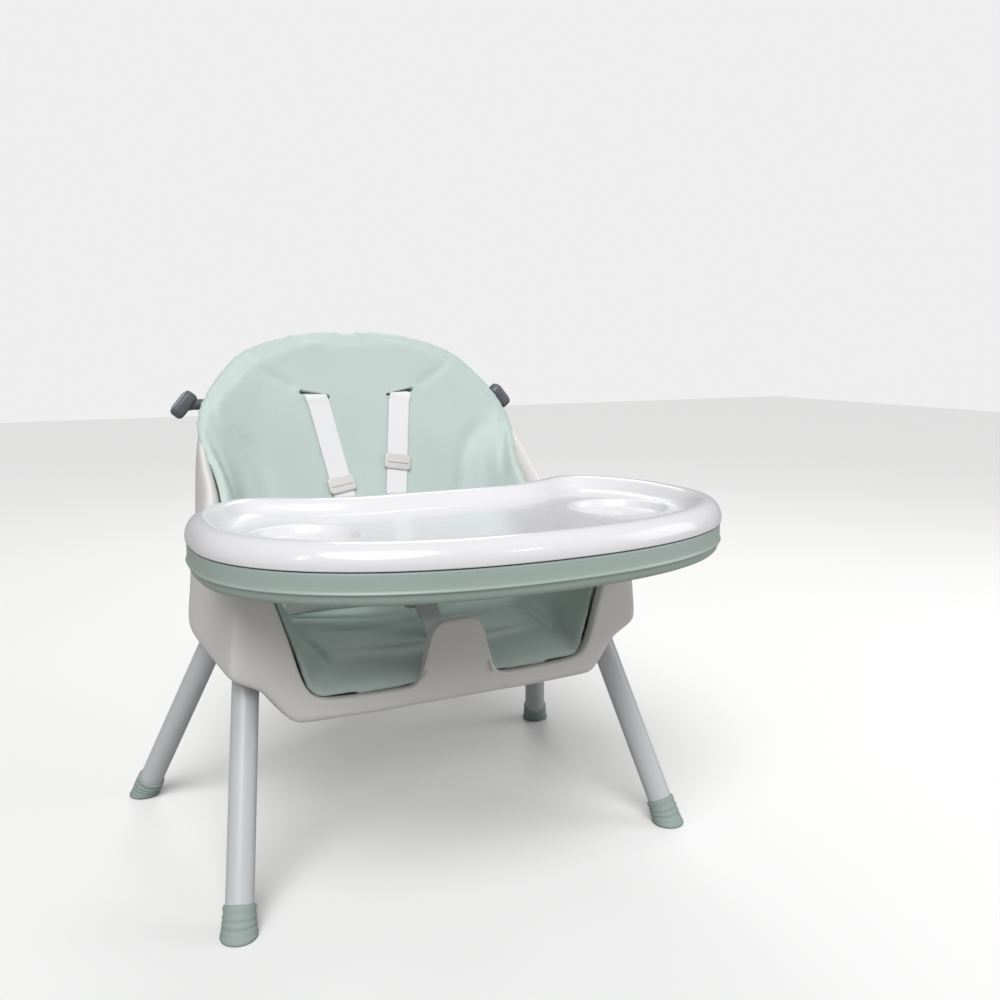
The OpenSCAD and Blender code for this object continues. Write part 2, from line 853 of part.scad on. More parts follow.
tray_channel(1);  // tray_channel_right
latch_cover();
tray_screws();
release_handle();
handle_spring();
latch_rod(-1);  // latch_rod_left
latch_rod(1);  // latch_rod_right
shoulder_strap(-1);  // shoulder_strap_left
shoulder_strap(1);  // shoulder_strap_right
shoulder_adjuster(-1);  // shoulder_adjuster_left
shoulder_adjuster(1);  // shoulder_adjuster_right
waist_strap(-1);  // waist_strap_left
waist_strap(1);  // waist_strap_right
crotch_strap();
buckle_body();
buckle_button();
buckle_tongue(-1);  // buckle_tongue_left
buckle_tongue(1);  // buckle_tongue_right
strap_anchors();
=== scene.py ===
"""Low baby high chair: shells, tray, padding, harness, legs and studio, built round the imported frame."""
import math

import bmesh
import bpy
import numpy as np
from bpy.props import FloatProperty, FloatVectorProperty, PointerProperty
from mathutils import Matrix, Vector, noise
from mathutils.bvhtree import BVHTree


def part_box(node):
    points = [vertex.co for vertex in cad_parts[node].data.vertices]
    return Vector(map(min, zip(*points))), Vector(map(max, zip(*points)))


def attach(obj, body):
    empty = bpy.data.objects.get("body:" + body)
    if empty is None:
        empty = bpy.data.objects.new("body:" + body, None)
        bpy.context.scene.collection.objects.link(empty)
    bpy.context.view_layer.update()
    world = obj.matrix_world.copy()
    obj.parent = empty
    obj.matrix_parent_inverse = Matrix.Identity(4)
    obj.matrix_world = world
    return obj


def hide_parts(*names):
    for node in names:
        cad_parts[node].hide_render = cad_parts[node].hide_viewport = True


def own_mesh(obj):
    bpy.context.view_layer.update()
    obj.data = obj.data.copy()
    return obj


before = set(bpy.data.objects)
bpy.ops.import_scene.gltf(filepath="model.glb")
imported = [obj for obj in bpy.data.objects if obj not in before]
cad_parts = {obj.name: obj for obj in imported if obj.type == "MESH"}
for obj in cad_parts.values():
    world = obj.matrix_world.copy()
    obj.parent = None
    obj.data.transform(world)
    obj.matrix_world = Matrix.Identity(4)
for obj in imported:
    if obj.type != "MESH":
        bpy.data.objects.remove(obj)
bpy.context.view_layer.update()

bl_info = {
    "name": "Low High Chair",
    "version": (1, 0, 0),
    "blender": (4, 5, 0),
    "location": "3D View > Sidebar > High Chair",
    "description": "Builds a low baby high chair with tray, padded seat, harness and plug-in legs",
    "category": "Add Mesh",
}

MM = 0.001
SHARP_ANGLE = 35
SIDES = {"left": -1, "right": 1}


def frame_size(node, axis):
    """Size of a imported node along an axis, in metres."""
    low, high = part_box(node)
    return high[axis] - low[axis]


# ---- properties ---------------------------------------------------------------


def length(name, description, default):
    return FloatProperty(name=name, description=description, default=default, min=0.0,
                         unit="LENGTH", subtype="DISTANCE")


def colour(name, description, default):
    return FloatVectorProperty(name=name, description=description, default=default, size=3,
                               min=0.0, max=1.0, subtype="COLOR")


class ChairSizes(bpy.types.PropertyGroup):
    tray_width: length("Tray width", "Overall width of the tray", frame_size("tray_insert", 0))
    seam_height: length("Seam height", "Height of the seam between tray and insert", 0.3415)
    rim_rise: length("Rim rise", "Height of the insert's rim above the seam", 0.021)
    band_height: length("Band height", "Height of the tray's coloured band", 0.027)
    cup_radius: length("Cup radius", "Radius of the round recesses", 0.048)
    cup_depth: length("Cup depth", "Depth of the round recesses", 0.0095)
    shell_wall: length("Shell wall", "Wall of the seat shell", 0.003)
    casing_wall: length("Casing wall", "Wall of the outer casing", 0.0035)
    pad: length("Back padding", "Thickness of the padding on the back", 0.020)
    seat_pad: length("Seat padding", "Thickness of the padding on the seat", 0.013)
    side_pad: length("Side padding", "Thickness of the padding on the side walls", 0.009)
    web_width: length("Webbing width", "Width of the harness webbing", 0.025)
    web_thickness: length("Webbing thickness", "Thickness of the harness webbing", 0.0016)
    leg_diameter: length("Leg diameter", "Outside diameter of a leg tube", 0.025)
    foot_height: length("Foot height", "Height of a foot cap", 0.024)


class ChairColours(bpy.types.PropertyGroup):
    padding: colour("Padding", "Mint coated fabric of the cushions", (0.475, 0.56, 0.53))
    mint: colour("Tray plastic", "Mint plastic of the tray's band", (0.32, 0.39, 0.363))
    gloss: colour("Insert", "Glossy white plastic of the insert", (0.72, 0.72, 0.74))
    shell: colour("Shell", "Satin white plastic of the casing", (0.68, 0.665, 0.65))
    paint: colour("Legs", "Paint of the leg tubes", (0.50, 0.515, 0.535))
    web: colour("Webbing", "White harness webbing", (0.74, 0.74, 0.75))
    fittings: colour("Fittings", "Warm white plastic of the harness fittings", (0.60, 0.585, 0.57))
    grey: colour("Grey plastic", "Grey plastic of pegs and buttons", (0.10, 0.11, 0.125))
    foot: colour("Foot caps", "Mint grey rubber of the foot caps", (0.27, 0.33, 0.31))
    steel: colour("Steel", "Screws and spring", (0.62, 0.62, 0.63))


def sizes():
    return bpy.context.scene.chair_sizes


def colours():
    return bpy.context.scene.chair_colours


def mm(value):
    """A size in metres as millimetres, the unit of the forms below."""
    return value / MM


# ---- curves and meshes ----------------------------------------------------------


def vec(*v):
    return np.array(v, float)


def unit(v):
    v = np.asarray(v, float)
    return v / np.linalg.norm(v)


def mix(a, b, t):
    return a + (b - a) * t


def smooth(t):
    t = min(max(t, 0.0), 1.0)
    return t * t * (3 - 2 * t)


def curve(a, b, c, d, t):
    return (2 * b + (c - a) * t + (2 * a - 5 * b + 4 * c - d) * t * t
            + (3 * b - a - 3 * c + d) * t * t * t) / 2


def along(stations, s):
    """Point at place s, counted in stations, on the smooth curve through them."""
    last = len(stations) - 1
    i = min(int(math.floor(s)), last - 1)
    a, b, c, d = (np.asarray(stations[min(max(k, 0), last)], float) for k in range(i - 1, i + 3))
    return curve(a, b, c, d, s - i)


def resample(points, count):
    """The smooth curve through points, at count evenly spaced places."""
    return [along(points, s) for s in np.linspace(0, len(points) - 1, count)]


def new_object(name, mesh):
    ob = bpy.data.objects.new(name, mesh)
    bpy.context.scene.collection.objects.link(ob)
    return ob


def add_mesh(name, points, faces, flat=False):
    """Object from points in millimetres."""
    mesh = bpy.data.meshes.new(name)
    mesh.from_pydata([tuple(np.asarray(p, float) * MM) for p in points], [], faces)
    mesh.validate()
    mesh.update()
    if not flat:
        mesh.shade_smooth()
    return new_object(name, mesh)


def grid_faces(rows, cols, wrap_rows=False, wrap_cols=False, start=0):
    faces = []
    for i in range(rows if wrap_rows else rows - 1):
        for j in range(cols if wrap_cols else cols - 1):
            k, n = (i + 1) % rows, (j + 1) % cols
            faces.append([start + i * cols + j, start + i * cols + n,
                          start + k * cols + n, start + k * cols + j])
    return faces


def add_grid(name, grid, wrap_rows=False, wrap_cols=False):
    rows, cols = len(grid), len(grid[0])
    points = [p for row in grid for p in row]
    return add_mesh(name, points, grid_faces(rows, cols, wrap_rows, wrap_cols))


def modify(ob, kind, **values):
    modifier = ob.modifiers.new(kind.title(), kind)
    for key, value in values.items():
        setattr(modifier, key, value)
    return modifier


def settle(ob):
    """Applies every modifier on an object."""
    graph = bpy.context.evaluated_depsgraph_get()
    mesh = bpy.data.meshes.new_from_object(ob.evaluated_get(graph))
    ob.modifiers.clear()
    ob.data = mesh
    return ob


def outward(ob):
    """Turns the faces of a closed mesh outwards."""
    bm = bmesh.new()
    bm.from_mesh(ob.data)
    bmesh.ops.remove_doubles(bm, verts=bm.verts, dist=1e-6)
    bmesh.ops.recalc_face_normals(bm, faces=bm.faces)
    bm.to_mesh(ob.data)
    bm.free()
    return ob


def thicken(ob, wall, levels):
    """Gives an open sheet a wall in millimetres behind it, and rounds it by subdivision."""
    modify(ob, "SOLIDIFY", thickness=wall * MM, offset=-1.0, use_even_offset=True)
    if levels:
        modify(ob, "SUBSURF", levels=levels, render_levels=levels)
    return outward(settle(ob))


def soften(ob, width):
    """Rounds the sharp edges of an object; width in millimetres."""
    modify(ob, "BEVEL", width=width * MM, segments=3, limit_method="ANGLE",
           angle_limit=math.radians(SHARP_ANGLE), harden_normals=False)
    modify(ob, "WEIGHTED_NORMAL", keep_sharp=True)
    settle(ob)
    ob.data.shade_smooth()
    return ob


def join(name, parts):
    """One object from several, with their materials kept."""
    bm = bmesh.new()
    slots = []
    for part in parts:
        own = bmesh.new()
        own.from_mesh(part.data)
        own.transform(part.matrix_world)
        shift = []
        for material in part.data.materials:
            if material not in slots:
                slots.append(material)
            shift.append(slots.index(material))
        for face in own.faces:
            face.material_index = shift[face.material_index] if shift else 0
        held = bpy.data.meshes.new("part")
        own.to_mesh(held)
        own.free()
        bm.from_mesh(held)
        bpy.data.meshes.remove(held)
        bpy.data.objects.remove(part)
    mesh = bpy.data.meshes.new(name)
    bm.to_mesh(mesh)
    bm.free()
    for material in slots:
        mesh.materials.append(material)
    return new_object(name, mesh)


def carve(ob, cutters):
    """Takes the cutters out of an object."""
    for cutter in cutters:
        modify(ob, "BOOLEAN", operation="DIFFERENCE", object=cutter, solver="EXACT")
        settle(ob)
        bpy.data.objects.remove(cutter)
    return ob


def extrude_outline(name, outline, z0, z1):
    """Closed prism on an outline in x and y."""
    n = len(outline)
    points = [(p[0], p[1], z0) for p in outline] + [(p[0], p[1], z1) for p in outline]
    faces = [list(range(n))[::-1], list(range(n, 2 * n))]
    faces += [[k, (k + 1) % n, n + (k + 1) % n, n + k] for k in range(n)]
    return outward(add_mesh(name, points, faces, flat=True))


def rounded_outline(w, d, r, steps=6):
    """Rectangle w by d with round corners, centred."""
    out = []
    for k, (sx, sy) in enumerate([(1, 1), (-1, 1), (-1, -1), (1, -1)]):
        for s in range(steps + 1):
            a = math.radians(90 * (k + s / steps))
            out.append((sx * (w / 2 - r) + r * math.cos(a), sy * (d / 2 - r) + r * math.sin(a)))
    return out


def block(name, size, r, edge, z0=None):
    """Block with round upright corners and softened edges, centred or standing on z0."""
    z0 = -size[2] / 2 if z0 is None else z0
    ob = extrude_outline(name, rounded_outline(size[0], size[1], r), z0, z0 + size[2])
    return soften(ob, edge)


def stand(ob, place, turn):
    """Puts the mesh of an object at a place in millimetres, after a turn."""
    ob.data.transform(Matrix.Translation(Vector(place) * MM) @ turn.to_4x4())
    return ob


def shift(ob, x=0, y=0):
    """Moves the mesh of an object sideways; millimetres."""
    ob.data.transform(Matrix.Translation(Vector((x, y, 0)) * MM))
    return ob


def mirror_left(ob, side):
    """Turns a right-hand piece into the left-hand one when side is negative."""
    if side < 0:
        ob.data.transform(Matrix.Scale(-1, 4, Vector((1, 0, 0))))
        ob.data.flip_normals()
    ob.data.shade_smooth()
    return ob


def set_points(ob, points):
    """Puts the points of an object at places in metres."""
    ob.data.vertices.foreach_set("co", points.astype(np.float32).ravel())
    ob.data.update()
    return ob


def points_of(ob):
    """Places, in metres, and normals of the points of an object."""
    vertices = ob.data.vertices
    return np.array([v.co for v in vertices]), np.array([v.normal for v in vertices])


def side_vectors(axis):
    axis = unit(axis)
    hint = vec(0, 0, 1) if abs(axis[2]) < 0.9 else vec(1, 0, 0)
    a = unit(np.cross(hint, axis))
    return a, np.cross(axis, a)


def ring(centre, r, a, b, count):
    """Points round a centre, in the plane of a and b."""
    return [centre + r * (math.cos(t) * a + math.sin(t) * b)
            for t in np.linspace(0, 2 * math.pi, count, endpoint=False)]


def closed_rings(name, rows):
    """Closed skin over a row of rings."""
    count = len(rows[0])
    points = [p for row in rows for p in row]
    faces = grid_faces(len(rows), count, wrap_cols=True)
    faces.append(list(range(count))[::-1])
    faces.append(list(range((len(rows) - 1) * count, len(rows) * count)))
    return outward(add_mesh(name, points, faces))


def lathe(name, start, axis, profile, count=48):
    """Turned form: profile holds distance along the axis and radius, from one end to the other."""
    a, b = side_vectors(axis)
    start, axis = np.asarray(start, float), unit(axis)
    return closed_rings(name, [ring(start + h * axis, max(r, 0.01), a, b, count) for h, r in profile])


def tube(name, path, r, count):
    """Round tube along a path, closed at its ends."""
    rows = []
    for k, p in enumerate(path):
        way = unit(path[min(k + 1, len(path) - 1)] - path[max(k - 1, 0)])
        rows.append(ring(p, r, *side_vectors(way), count))
    return closed_rings(name, rows)


def flip(p, side):
    return vec(p[0] * side, p[1], p[2])


# ---- shader groups and materials -------------------------------------------------


def node_group(name, inputs, outputs, build):
    """Shader group with named sockets, built once."""
    if name in bpy.data.node_groups:
        return bpy.data.node_groups[name]
    group = bpy.data.node_groups.new(name, "ShaderNodeTree")
    for label, kind, default in inputs:
        socket = group.interface.new_socket(name=label, in_out="INPUT", socket_type=kind)
        if default is not None:
            socket.default_value = default
    for label, kind in outputs:
        group.interface.new_socket(name=label, in_out="OUTPUT", socket_type=kind)
    source = group.nodes.new("NodeGroupInput")
    sink = group.nodes.new("NodeGroupOutput")
    build(group, source.outputs, sink.inputs)
    return group


class Wires:
    """Short ways to add nodes to a tree."""

    def __init__(self, tree):
        self.tree = tree

    def node(self, kind, **values):
        node = self.tree.nodes.new(kind)
        for key, value in values.items():
            setattr(node, key, value)
        return node

    def link(self, a, b):
        self.tree.links.new(a, b)

    def set(self, socket, value):
        if isinstance(value, bpy.types.NodeSocket):
            self.link(value, socket)
        else:
            socket.default_value = value

    def math(self, operation, a, b=0.0, clamp=False):
        node = self.node("ShaderNodeMath", operation=operation, use_clamp=clamp)
        self.set(node.inputs[0], a)
        self.set(node.inputs[1], b)
        return node.outputs[0]

    def noise(self, vector, scale, detail=2.0, rough=0.5):
        node = self.node("ShaderNodeTexNoise")
        self.link(vector, node.inputs["Vector"])
        self.set(node.inputs["Scale"], scale)
        self.set(node.inputs["Detail"], detail)
        self.set(node.inputs["Roughness"], rough)
        return node.outputs["Fac"]

    def voronoi(self, vector, scale):
        node = self.node("ShaderNodeTexVoronoi", feature="DISTANCE_TO_EDGE")
        self.link(vector, node.inputs["Vector"])
        self.set(node.inputs["Scale"], scale)
        return node.outputs["Distance"]

    def spread(self, value, low, high, to_low=0.0, to_high=1.0):
        node = self.node("ShaderNodeMapRange")
        self.link(value, node.inputs["Value"])
        for key, v in (("From Min", low), ("From Max", high), ("To Min", to_low), ("To Max", to_high)):
            self.set(node.inputs[key], v)
        return node.outputs["Result"]

    def blend(self, factor, a, b):
        node = self.node("ShaderNodeMix", data_type="RGBA")
        self.set(node.inputs[0], factor)
        self.set(node.inputs[6], a)
        self.set(node.inputs[7], b)
        return node.outputs[2]

    def place(self):
        return self.node("ShaderNodeTexCoord").outputs["Object"]


def build_moulded(group, source, sink):
    """Faint orange peel over slow sink marks."""
    w = Wires(group)
    place = w.place()
    peel = w.noise(place, source["Scale"], 3.0, 0.55)
    slow = w.noise(place, 14.0, 1.0)
    w.link(w.math("ADD", w.math("MULTIPLY", peel, 0.6), w.math("MULTIPLY", slow, 0.8)), sink["Height"])
    w.link(w.spread(peel, 0.35, 0.7), sink["Mask"])


def build_grain(group, source, sink):
    """Pebbled grain of coated fabric, with fine pores and slow creasing."""
    w = Wires(group)
    place = w.place()
    cells = w.voronoi(place, source["Scale"])
    fine = w.voronoi(place, w.math("MULTIPLY", source["Scale"], 2.3))
    slow = w.noise(place, 26.0, 3.0, 0.6)
    grain = w.math("ADD", w.spread(cells, 0.0, 0.35, 0.0, 0.75), w.spread(fine, 0.0, 0.3, 0.0, 0.25))
    w.link(w.math("ADD", grain, w.math("MULTIPLY", slow, source["Creasing"])), sink["Height"])
    w.link(w.spread(cells, 0.0, 0.25), sink["Mask"])


def build_weave(group, source, sink):
    """Ribs across the webbing and twill along it, from a map in metres."""
    w = Wires(group)
    parts = w.node("ShaderNodeSeparateXYZ")
    w.link(source["Vector"], parts.inputs[0])
    across, down = parts.outputs[0], parts.outputs[1]
    yarn = w.math("SINE", w.math("MULTIPLY", across, source["Yarns"]))
    pick = w.math("SINE", w.math("MULTIPLY", down, source["Picks"]))
    twill = w.math("MULTIPLY", yarn, pick)
    height = w.math("ADD", w.math("MULTIPLY", twill, 0.5), w.math("MULTIPLY", pick, 0.3))
    w.link(w.math("ADD", w.math("MULTIPLY", height, 0.5), 0.5), sink["Height"])
    w.link(w.math("ADD", w.math("MULTIPLY", twill, 0.5), 0.5, clamp=True), sink["Mask"])


def build_tone(group, source, sink):
    """Colour that drifts slowly over a piece, with light handling marks."""
    w = Wires(group)
    place = w.place()
    slow = w.noise(place, source["Scale"], 2.0)
    marks = w.spread(w.noise(place, 160.0, 4.0, 0.7), 0.62, 0.78)
    shade = w.math("MULTIPLY", w.spread(slow, 0.3, 0.7, -1.0, 1.0), source["Drift"])
    value = w.math("ADD", 1.0, w.math("SUBTRACT", shade, w.math("MULTIPLY", marks, source["Marks"])))
    tint = w.node("ShaderNodeVectorMath", operation="SCALE")
    w.link(source["Color"], tint.inputs[0])
    w.link(value, tint.inputs["Scale"])
    w.link(tint.outputs[0], sink["Color"])
    w.link(marks, sink["Mask"])


def build_painted_corner_shade(group, source, sink):
    """Painted shade: darkens occluded corners and hollows found by ambient occlusion, broken up by a speckle.
    """
    w = Wires(group)
    shade = w.node("ShaderNodeAmbientOcclusion", samples=6)
    w.set(shade.inputs["Distance"], source["Reach"])
    occluded = w.spread(shade.outputs["AO"], 0.35, 0.95, 1.0, 0.0)
    speckle = w.spread(w.noise(w.place(), 90.0, 3.0), 0.3, 0.7)
    w.link(w.math("MULTIPLY", w.math("MULTIPLY", occluded, speckle), source["Amount"], clamp=True),
           sink["Mask"])


FLOAT, VECTOR, COLOUR = "NodeSocketFloat", "NodeSocketVector", "NodeSocketColor"
RELIEF = [("Height", FLOAT), ("Mask", FLOAT)]


def group_moulded():
    return node_group("Moulded surface", [("Scale", FLOAT, 900.0)], RELIEF, build_moulded)


def group_grain():
    inputs = [("Scale", FLOAT, 700.0), ("Creasing", FLOAT, 0.6)]
    return node_group("Coated grain", inputs, RELIEF, build_grain)


def group_weave():
    inputs = [("Vector", VECTOR, None), ("Yarns", FLOAT, 3200.0), ("Picks", FLOAT, 2600.0)]
    return node_group("Webbing weave", inputs, RELIEF, build_weave)


def group_tone():
    inputs = [("Color", COLOUR, (0.5, 0.5, 0.5, 1.0)), ("Scale", FLOAT, 9.0), ("Drift", FLOAT, 0.03),
              ("Marks", FLOAT, 0.03)]
    return node_group("Drifting tone", inputs, [("Color", COLOUR), ("Mask", FLOAT)], build_tone)


def group_painted_corner_shade():
    inputs = [("Reach", FLOAT, 0.02), ("Amount", FLOAT, 0.3)]
    return node_group("Corner dust", inputs, [("Mask", FLOAT)], build_painted_corner_shade)


# Share of the base colour left where the painted shade in occluded corners is deepest
CORNER_SHADE_TONE = 0.55


class Finish:
    """A material under construction: tone and painted shade in occluded corners on the colour, then relief.
    """

    # The strength of the painted shade in occluded corners and its reach are set for each material
    def __init__(self, name, base, drift=0.03, marks=0.02, dust=0.25, reach=0.012):
        self.material = bpy.data.materials.new(name)
        self.material.use_nodes = True
        self.w = Wires(self.material.node_tree)
        self.shader = self.material.node_tree.nodes["Principled BSDF"]
        tone = self.group(group_tone(), Color=(*base, 1.0), Scale=9.0, Drift=drift, Marks=marks)
        # Painted shade: the corner mask darkens occluded corners and hollows towards a darker copy of the
        # base colour
        corner = self.group(group_painted_corner_shade(), Reach=reach, Amount=dust)
        shade_colour = (*[c * CORNER_SHADE_TONE for c in base], 1.0)
        shaded_colour = self.w.blend(corner.outputs["Mask"], tone.outputs["Color"], shade_colour)
        self.w.link(shaded_colour, self.shader.inputs["Base Color"])
        self.material.diffuse_color = (*base, 1.0)

    def group(self, tree, **values):
        node = self.w.node("ShaderNodeGroup", node_tree=tree)
        for key, value in values.items():
            self.w.set(node.inputs[key], value)
        return node

    def set(self, **values):
        names = {"metal": "Metallic", "coat": "Coat Weight", "coat_rough": "Coat Roughness",
                 "sheen": "Sheen Weight", "sheen_rough": "Sheen Roughness", "specular": "Specular IOR Level"}
        for key, value in values.items():
            self.shader.inputs[names[key]].default_value = value
        return self

    def gloss_from(self, mask, low, high):
        self.w.link(self.w.spread(mask, 0.0, 1.0, low, high), self.shader.inputs["Roughness"])
        return self

    def relief(self, height, strength, distance):
        bump = self.w.node("ShaderNodeBump")
        bump.inputs["Strength"].default_value = strength
        bump.inputs["Distance"].default_value = distance
        self.w.link(height, bump.inputs["Height"])
        self.w.link(bump.outputs["Normal"], self.shader.inputs["Normal"])
        return self


def moulded(name, base, low, high, peel=0.12, scale=900.0, **extra):
    """Injection-moulded plastic between two roughness values."""
    finish = Finish(name, base, **extra)
    surface = finish.group(group_moulded(), Scale=scale)
    finish.relief(surface.outputs["Height"], peel, 0.0004)
    return finish.gloss_from(surface.outputs["Mask"], low, high)


def gloss_white():
    return moulded("Glossy white plastic", colours().gloss, 0.16, 0.24, peel=0.04, scale=160.0, drift=0.012,
                   marks=0.01, dust=0.10).set(coat=0.25, coat_rough=0.05, specular=0.4).material


def mint_plastic():
    return moulded("Mint satin plastic", colours().mint, 0.34, 0.46, peel=0.10, drift=0.02).material


def shell_white():
    return moulded("Satin white plastic", colours().shell, 0.40, 0.55, peel=0.16, drift=0.02,
                   dust=0.35).material


def fitting_white():
    return moulded("Warm white plastic", colours().fittings, 0.36, 0.50, peel=0.12, scale=1500.0).material


def grey_plastic():
    return moulded("Grey plastic", colours().grey, 0.32, 0.50, peel=0.18, scale=1400.0, marks=0.05).material


# Painted highlight: the grey plastic made 2.6 times lighter, standing for sky light reflected on the pegs'
# faces; the buttons use it too
def grey_highlight():
    highlighted = [min(c * 2.6, 1.0) for c in colours().grey]
    return moulded("Grey plastic with painted highlight", highlighted, 0.28, 0.42, peel=0.12, scale=1400.0).material


def foot_rubber():
    return moulded("Foot rubber", colours().foot, 0.55, 0.75, peel=0.3, scale=1800.0, marks=0.08,
                   dust=0.5).material


def leg_paint():
    return moulded("Leg paint", colours().paint, 0.30, 0.42, peel=0.22, scale=1100.0, drift=0.015).set(
        coat=0.15, coat_rough=0.25).material


def bright_steel():
    finish = moulded("Bright steel", colours().steel, 0.22, 0.38, peel=0.1, scale=2400.0, marks=0.08)
    return finish.set(metal=1.0).material


def padding():
    finish = Finish("Mint coated fabric", colours().padding, drift=0.03, marks=0.015, dust=0.3, reach=0.02)
    grain = finish.group(group_grain(), Scale=620.0, Creasing=0.8)
    finish.relief(grain.outputs["Height"], 0.22, 0.0005)
    finish.gloss_from(grain.outputs["Mask"], 0.40, 0.56)
    return finish.set(sheen=0.05, coat=0.0).material


def webbing_cloth():
    finish = Finish("White webbing", colours().web, drift=0.02, marks=0.03, dust=0.2, reach=0.01)
    uv = finish.w.node("ShaderNodeUVMap", uv_map="Weave").outputs["UV"]
    weave = finish.group(group_weave(), Vector=uv, Yarns=5200.0, Picks=3600.0)
    finish.relief(weave.outputs["Height"], 0.6, 0.0003)
    finish.gloss_from(weave.outputs["Mask"], 0.70, 0.85)
    return finish.set(sheen=0.25, sheen_rough=0.5).material


MAKERS = {
    "gloss": gloss_white, "mint": mint_plastic, "shell": shell_white, "fitting": fitting_white,
    "grey": grey_plastic, "grey_highlight": grey_highlight, "foot": foot_rubber, "paint": leg_paint,
    "steel": bright_steel, "padding": padding, "web": webbing_cloth,
}
made = {}


def material(key):
    if key not in made:
        made[key] = MAKERS[key]()
    return made[key]


def dress(ob, key):
    ob.data.materials.clear()
    ob.data.materials.append(material(key))
    return ob


def piece(ob, key, body="chair", *nodes):
    """Finishes a piece: its material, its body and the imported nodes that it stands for."""
    if not ob.data.materials:
        dress(ob, key)
    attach(ob, body)
    if nodes:
        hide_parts(*nodes)
    return ob


def keep_node(name, key):
    """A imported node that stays, in a better finish."""
    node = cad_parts[name]
    node.data.materials.clear()
    node.data.materials.append(material(key))
    return node


# ---- tray ------------------------------------------------------------------------

FRONT_POWER = 2.2
REAR_POWER = 2.65
TRAY_MID_Y = -88
FRONT_REACH = 167
REAR_REACH = 180
SCOOP_DEPTH = 80
SCOOP_HALF = 190
CUP = (160, -92)
FLOOR_RISE = 6.5
RAIL_X = 203
INSERT_WALL = 2.4
TRAY_STEPS, CUP_STEPS = 300, 96
SEAM_GAP = 0.5


def lobe(c, power):
    return math.copysign(abs(c) ** (2 / power), c)


def tray_point(a, inset):
    """Point of the tray's outline at angle a, drawn in by inset."""
    front = math.sin(a) < 0
    power = FRONT_POWER if front else REAR_POWER
    x = (mm(sizes().tray_width) / 2 - inset) * lobe(math.cos(a), power)
    reach = (FRONT_REACH if front else REAR_REACH) - inset
    scoop = SCOOP_DEPTH * (1 - (x / SCOOP_HALF) ** 4) ** 2 if abs(x) < SCOOP_HALF else 0
    return x, TRAY_MID_Y + reach * lobe(math.sin(a), power) - (0 if front else scoop)


def tray_angles(count):
    """Angles that space the outline's points evenly along it."""
    fine = np.linspace(0, 2 * math.pi, 4001)
    line = np.array([tray_point(a, 0) for a in fine])
    travel = np.concatenate([[0], np.cumsum(np.linalg.norm(np.diff(line, axis=0), axis=1))])
    places = np.linspace(0, travel[-1], count, endpoint=False) + travel[-1] / count / 2
    return np.interp(places, travel, fine)


def tray_ring(profile, angles, shape=None):
    """Rows round the tray, one for each (inset, height) of a profile."""
    rows = []
    for inset, z in profile:
        row = []
        for a in angles:
            x, y = tray_point(a, inset)
            row.append((x, y, shape(x, y, z) if shape else z))
        rows.append(row)
    return rows


def rim_profile():
    """Insert's section as inset and height: outer wall, broad crest, inner wall, floor."""
    seam, rise = mm(sizes().seam_height), mm(sizes().rim_rise)
    section = [(0.9, 0.35), (0.2, 0.8), (0, 2.5), (0, 5.5), (0.9, 9.5), (3, 14), (6.5, 17.8), (11, 20.3),
               (16, 21), (20, 20.2), (23.5, 17.5), (26.5, 13.5), (29.5, 9.7), (33, 7.3), (37, 6.5)]
    return [(p[0], seam + p[1] * rise / 21) for p in resample(section, 43)]


def insert_surface():
    """Top surface of the insert: rim, floor and two cup recesses, as one open sheet."""
    seam = mm(sizes().seam_height)
    floor = seam + FLOOR_RISE
    cup_r, cup_depth = mm(sizes().cup_radius), mm(sizes().cup_depth)
    angles = tray_angles(TRAY_STEPS)
    rows = tray_ring(rim_profile(), angles)
    count = len(angles)
    bm = bmesh.new()
    rings = [[bm.verts.new(Vector(p) * MM) for p in row] for row in rows]
    for v in rings[-1]:
        v.co.z = floor * MM
    for low, high in zip(rings, rings[1:]):
        for j in range(count):
            k = (j + 1) % count
            bm.faces.new([low[j], low[k], high[k], high[j]])
    edges = [bm.edges.get((rings[-1][j], rings[-1][(j + 1) % count])) for j in range(count)]
    wall = [(3.6, 0), (2.6, -0.1), (1.5, -0.5), (0.6, -1.3), (-0.1, -2.6), (-0.8, -0.42 * cup_depth),
            (-1.5, -0.62 * cup_depth), (-2.8, -0.8 * cup_depth), (-5.0, -0.93 * cup_depth),
            (-8.5, -cup_depth), (-20, -cup_depth), (-34, -cup_depth)]
    for side in SIDES.values():
        turn = np.linspace(0, 2 * math.pi, CUP_STEPS, endpoint=False)
        cup = []
        for grow, drop in wall:
            cup.append([bm.verts.new(Vector((side * CUP[0] + (cup_r + grow) * math.cos(t),
                                             CUP[1] + (cup_r + grow) * math.sin(t), floor + drop)) * MM)
                        for t in turn])
        for outer, inner in zip(cup, cup[1:]):
            for j in range(CUP_STEPS):
                k = (j + 1) % CUP_STEPS
                bm.faces.new([outer[j], outer[k], inner[k], inner[j]])
        bm.faces.new(cup[-1])
        edges += [bm.edges.get((cup[0][j], cup[0][(j + 1) % CUP_STEPS])) for j in range(CUP_STEPS)]
    bmesh.ops.triangle_fill(bm, edges=edges, use_beauty=True, use_dissolve=False, normal=(0, 0, 1))
    bmesh.ops.recalc_face_normals(bm, faces=bm.faces)
    if max(bm.faces, key=lambda f: f.calc_center_median().z).normal.z < 0:
        bmesh.ops.reverse_faces(bm, faces=bm.faces)
    mesh = bpy.data.meshes.new("tray_insert_shell")
    bm.to_mesh(mesh)
    bm.free()
    mesh.shade_smooth()
    return new_object("tray_insert_shell", mesh)


NOTCH_LIFT = 0.56


def notch(x, y):
    """1 where the tray's back has to pass over the armrest rails, else 0."""
    return smooth((24 - abs(abs(x) - RAIL_X)) / 6) if y > 0 else 0.0


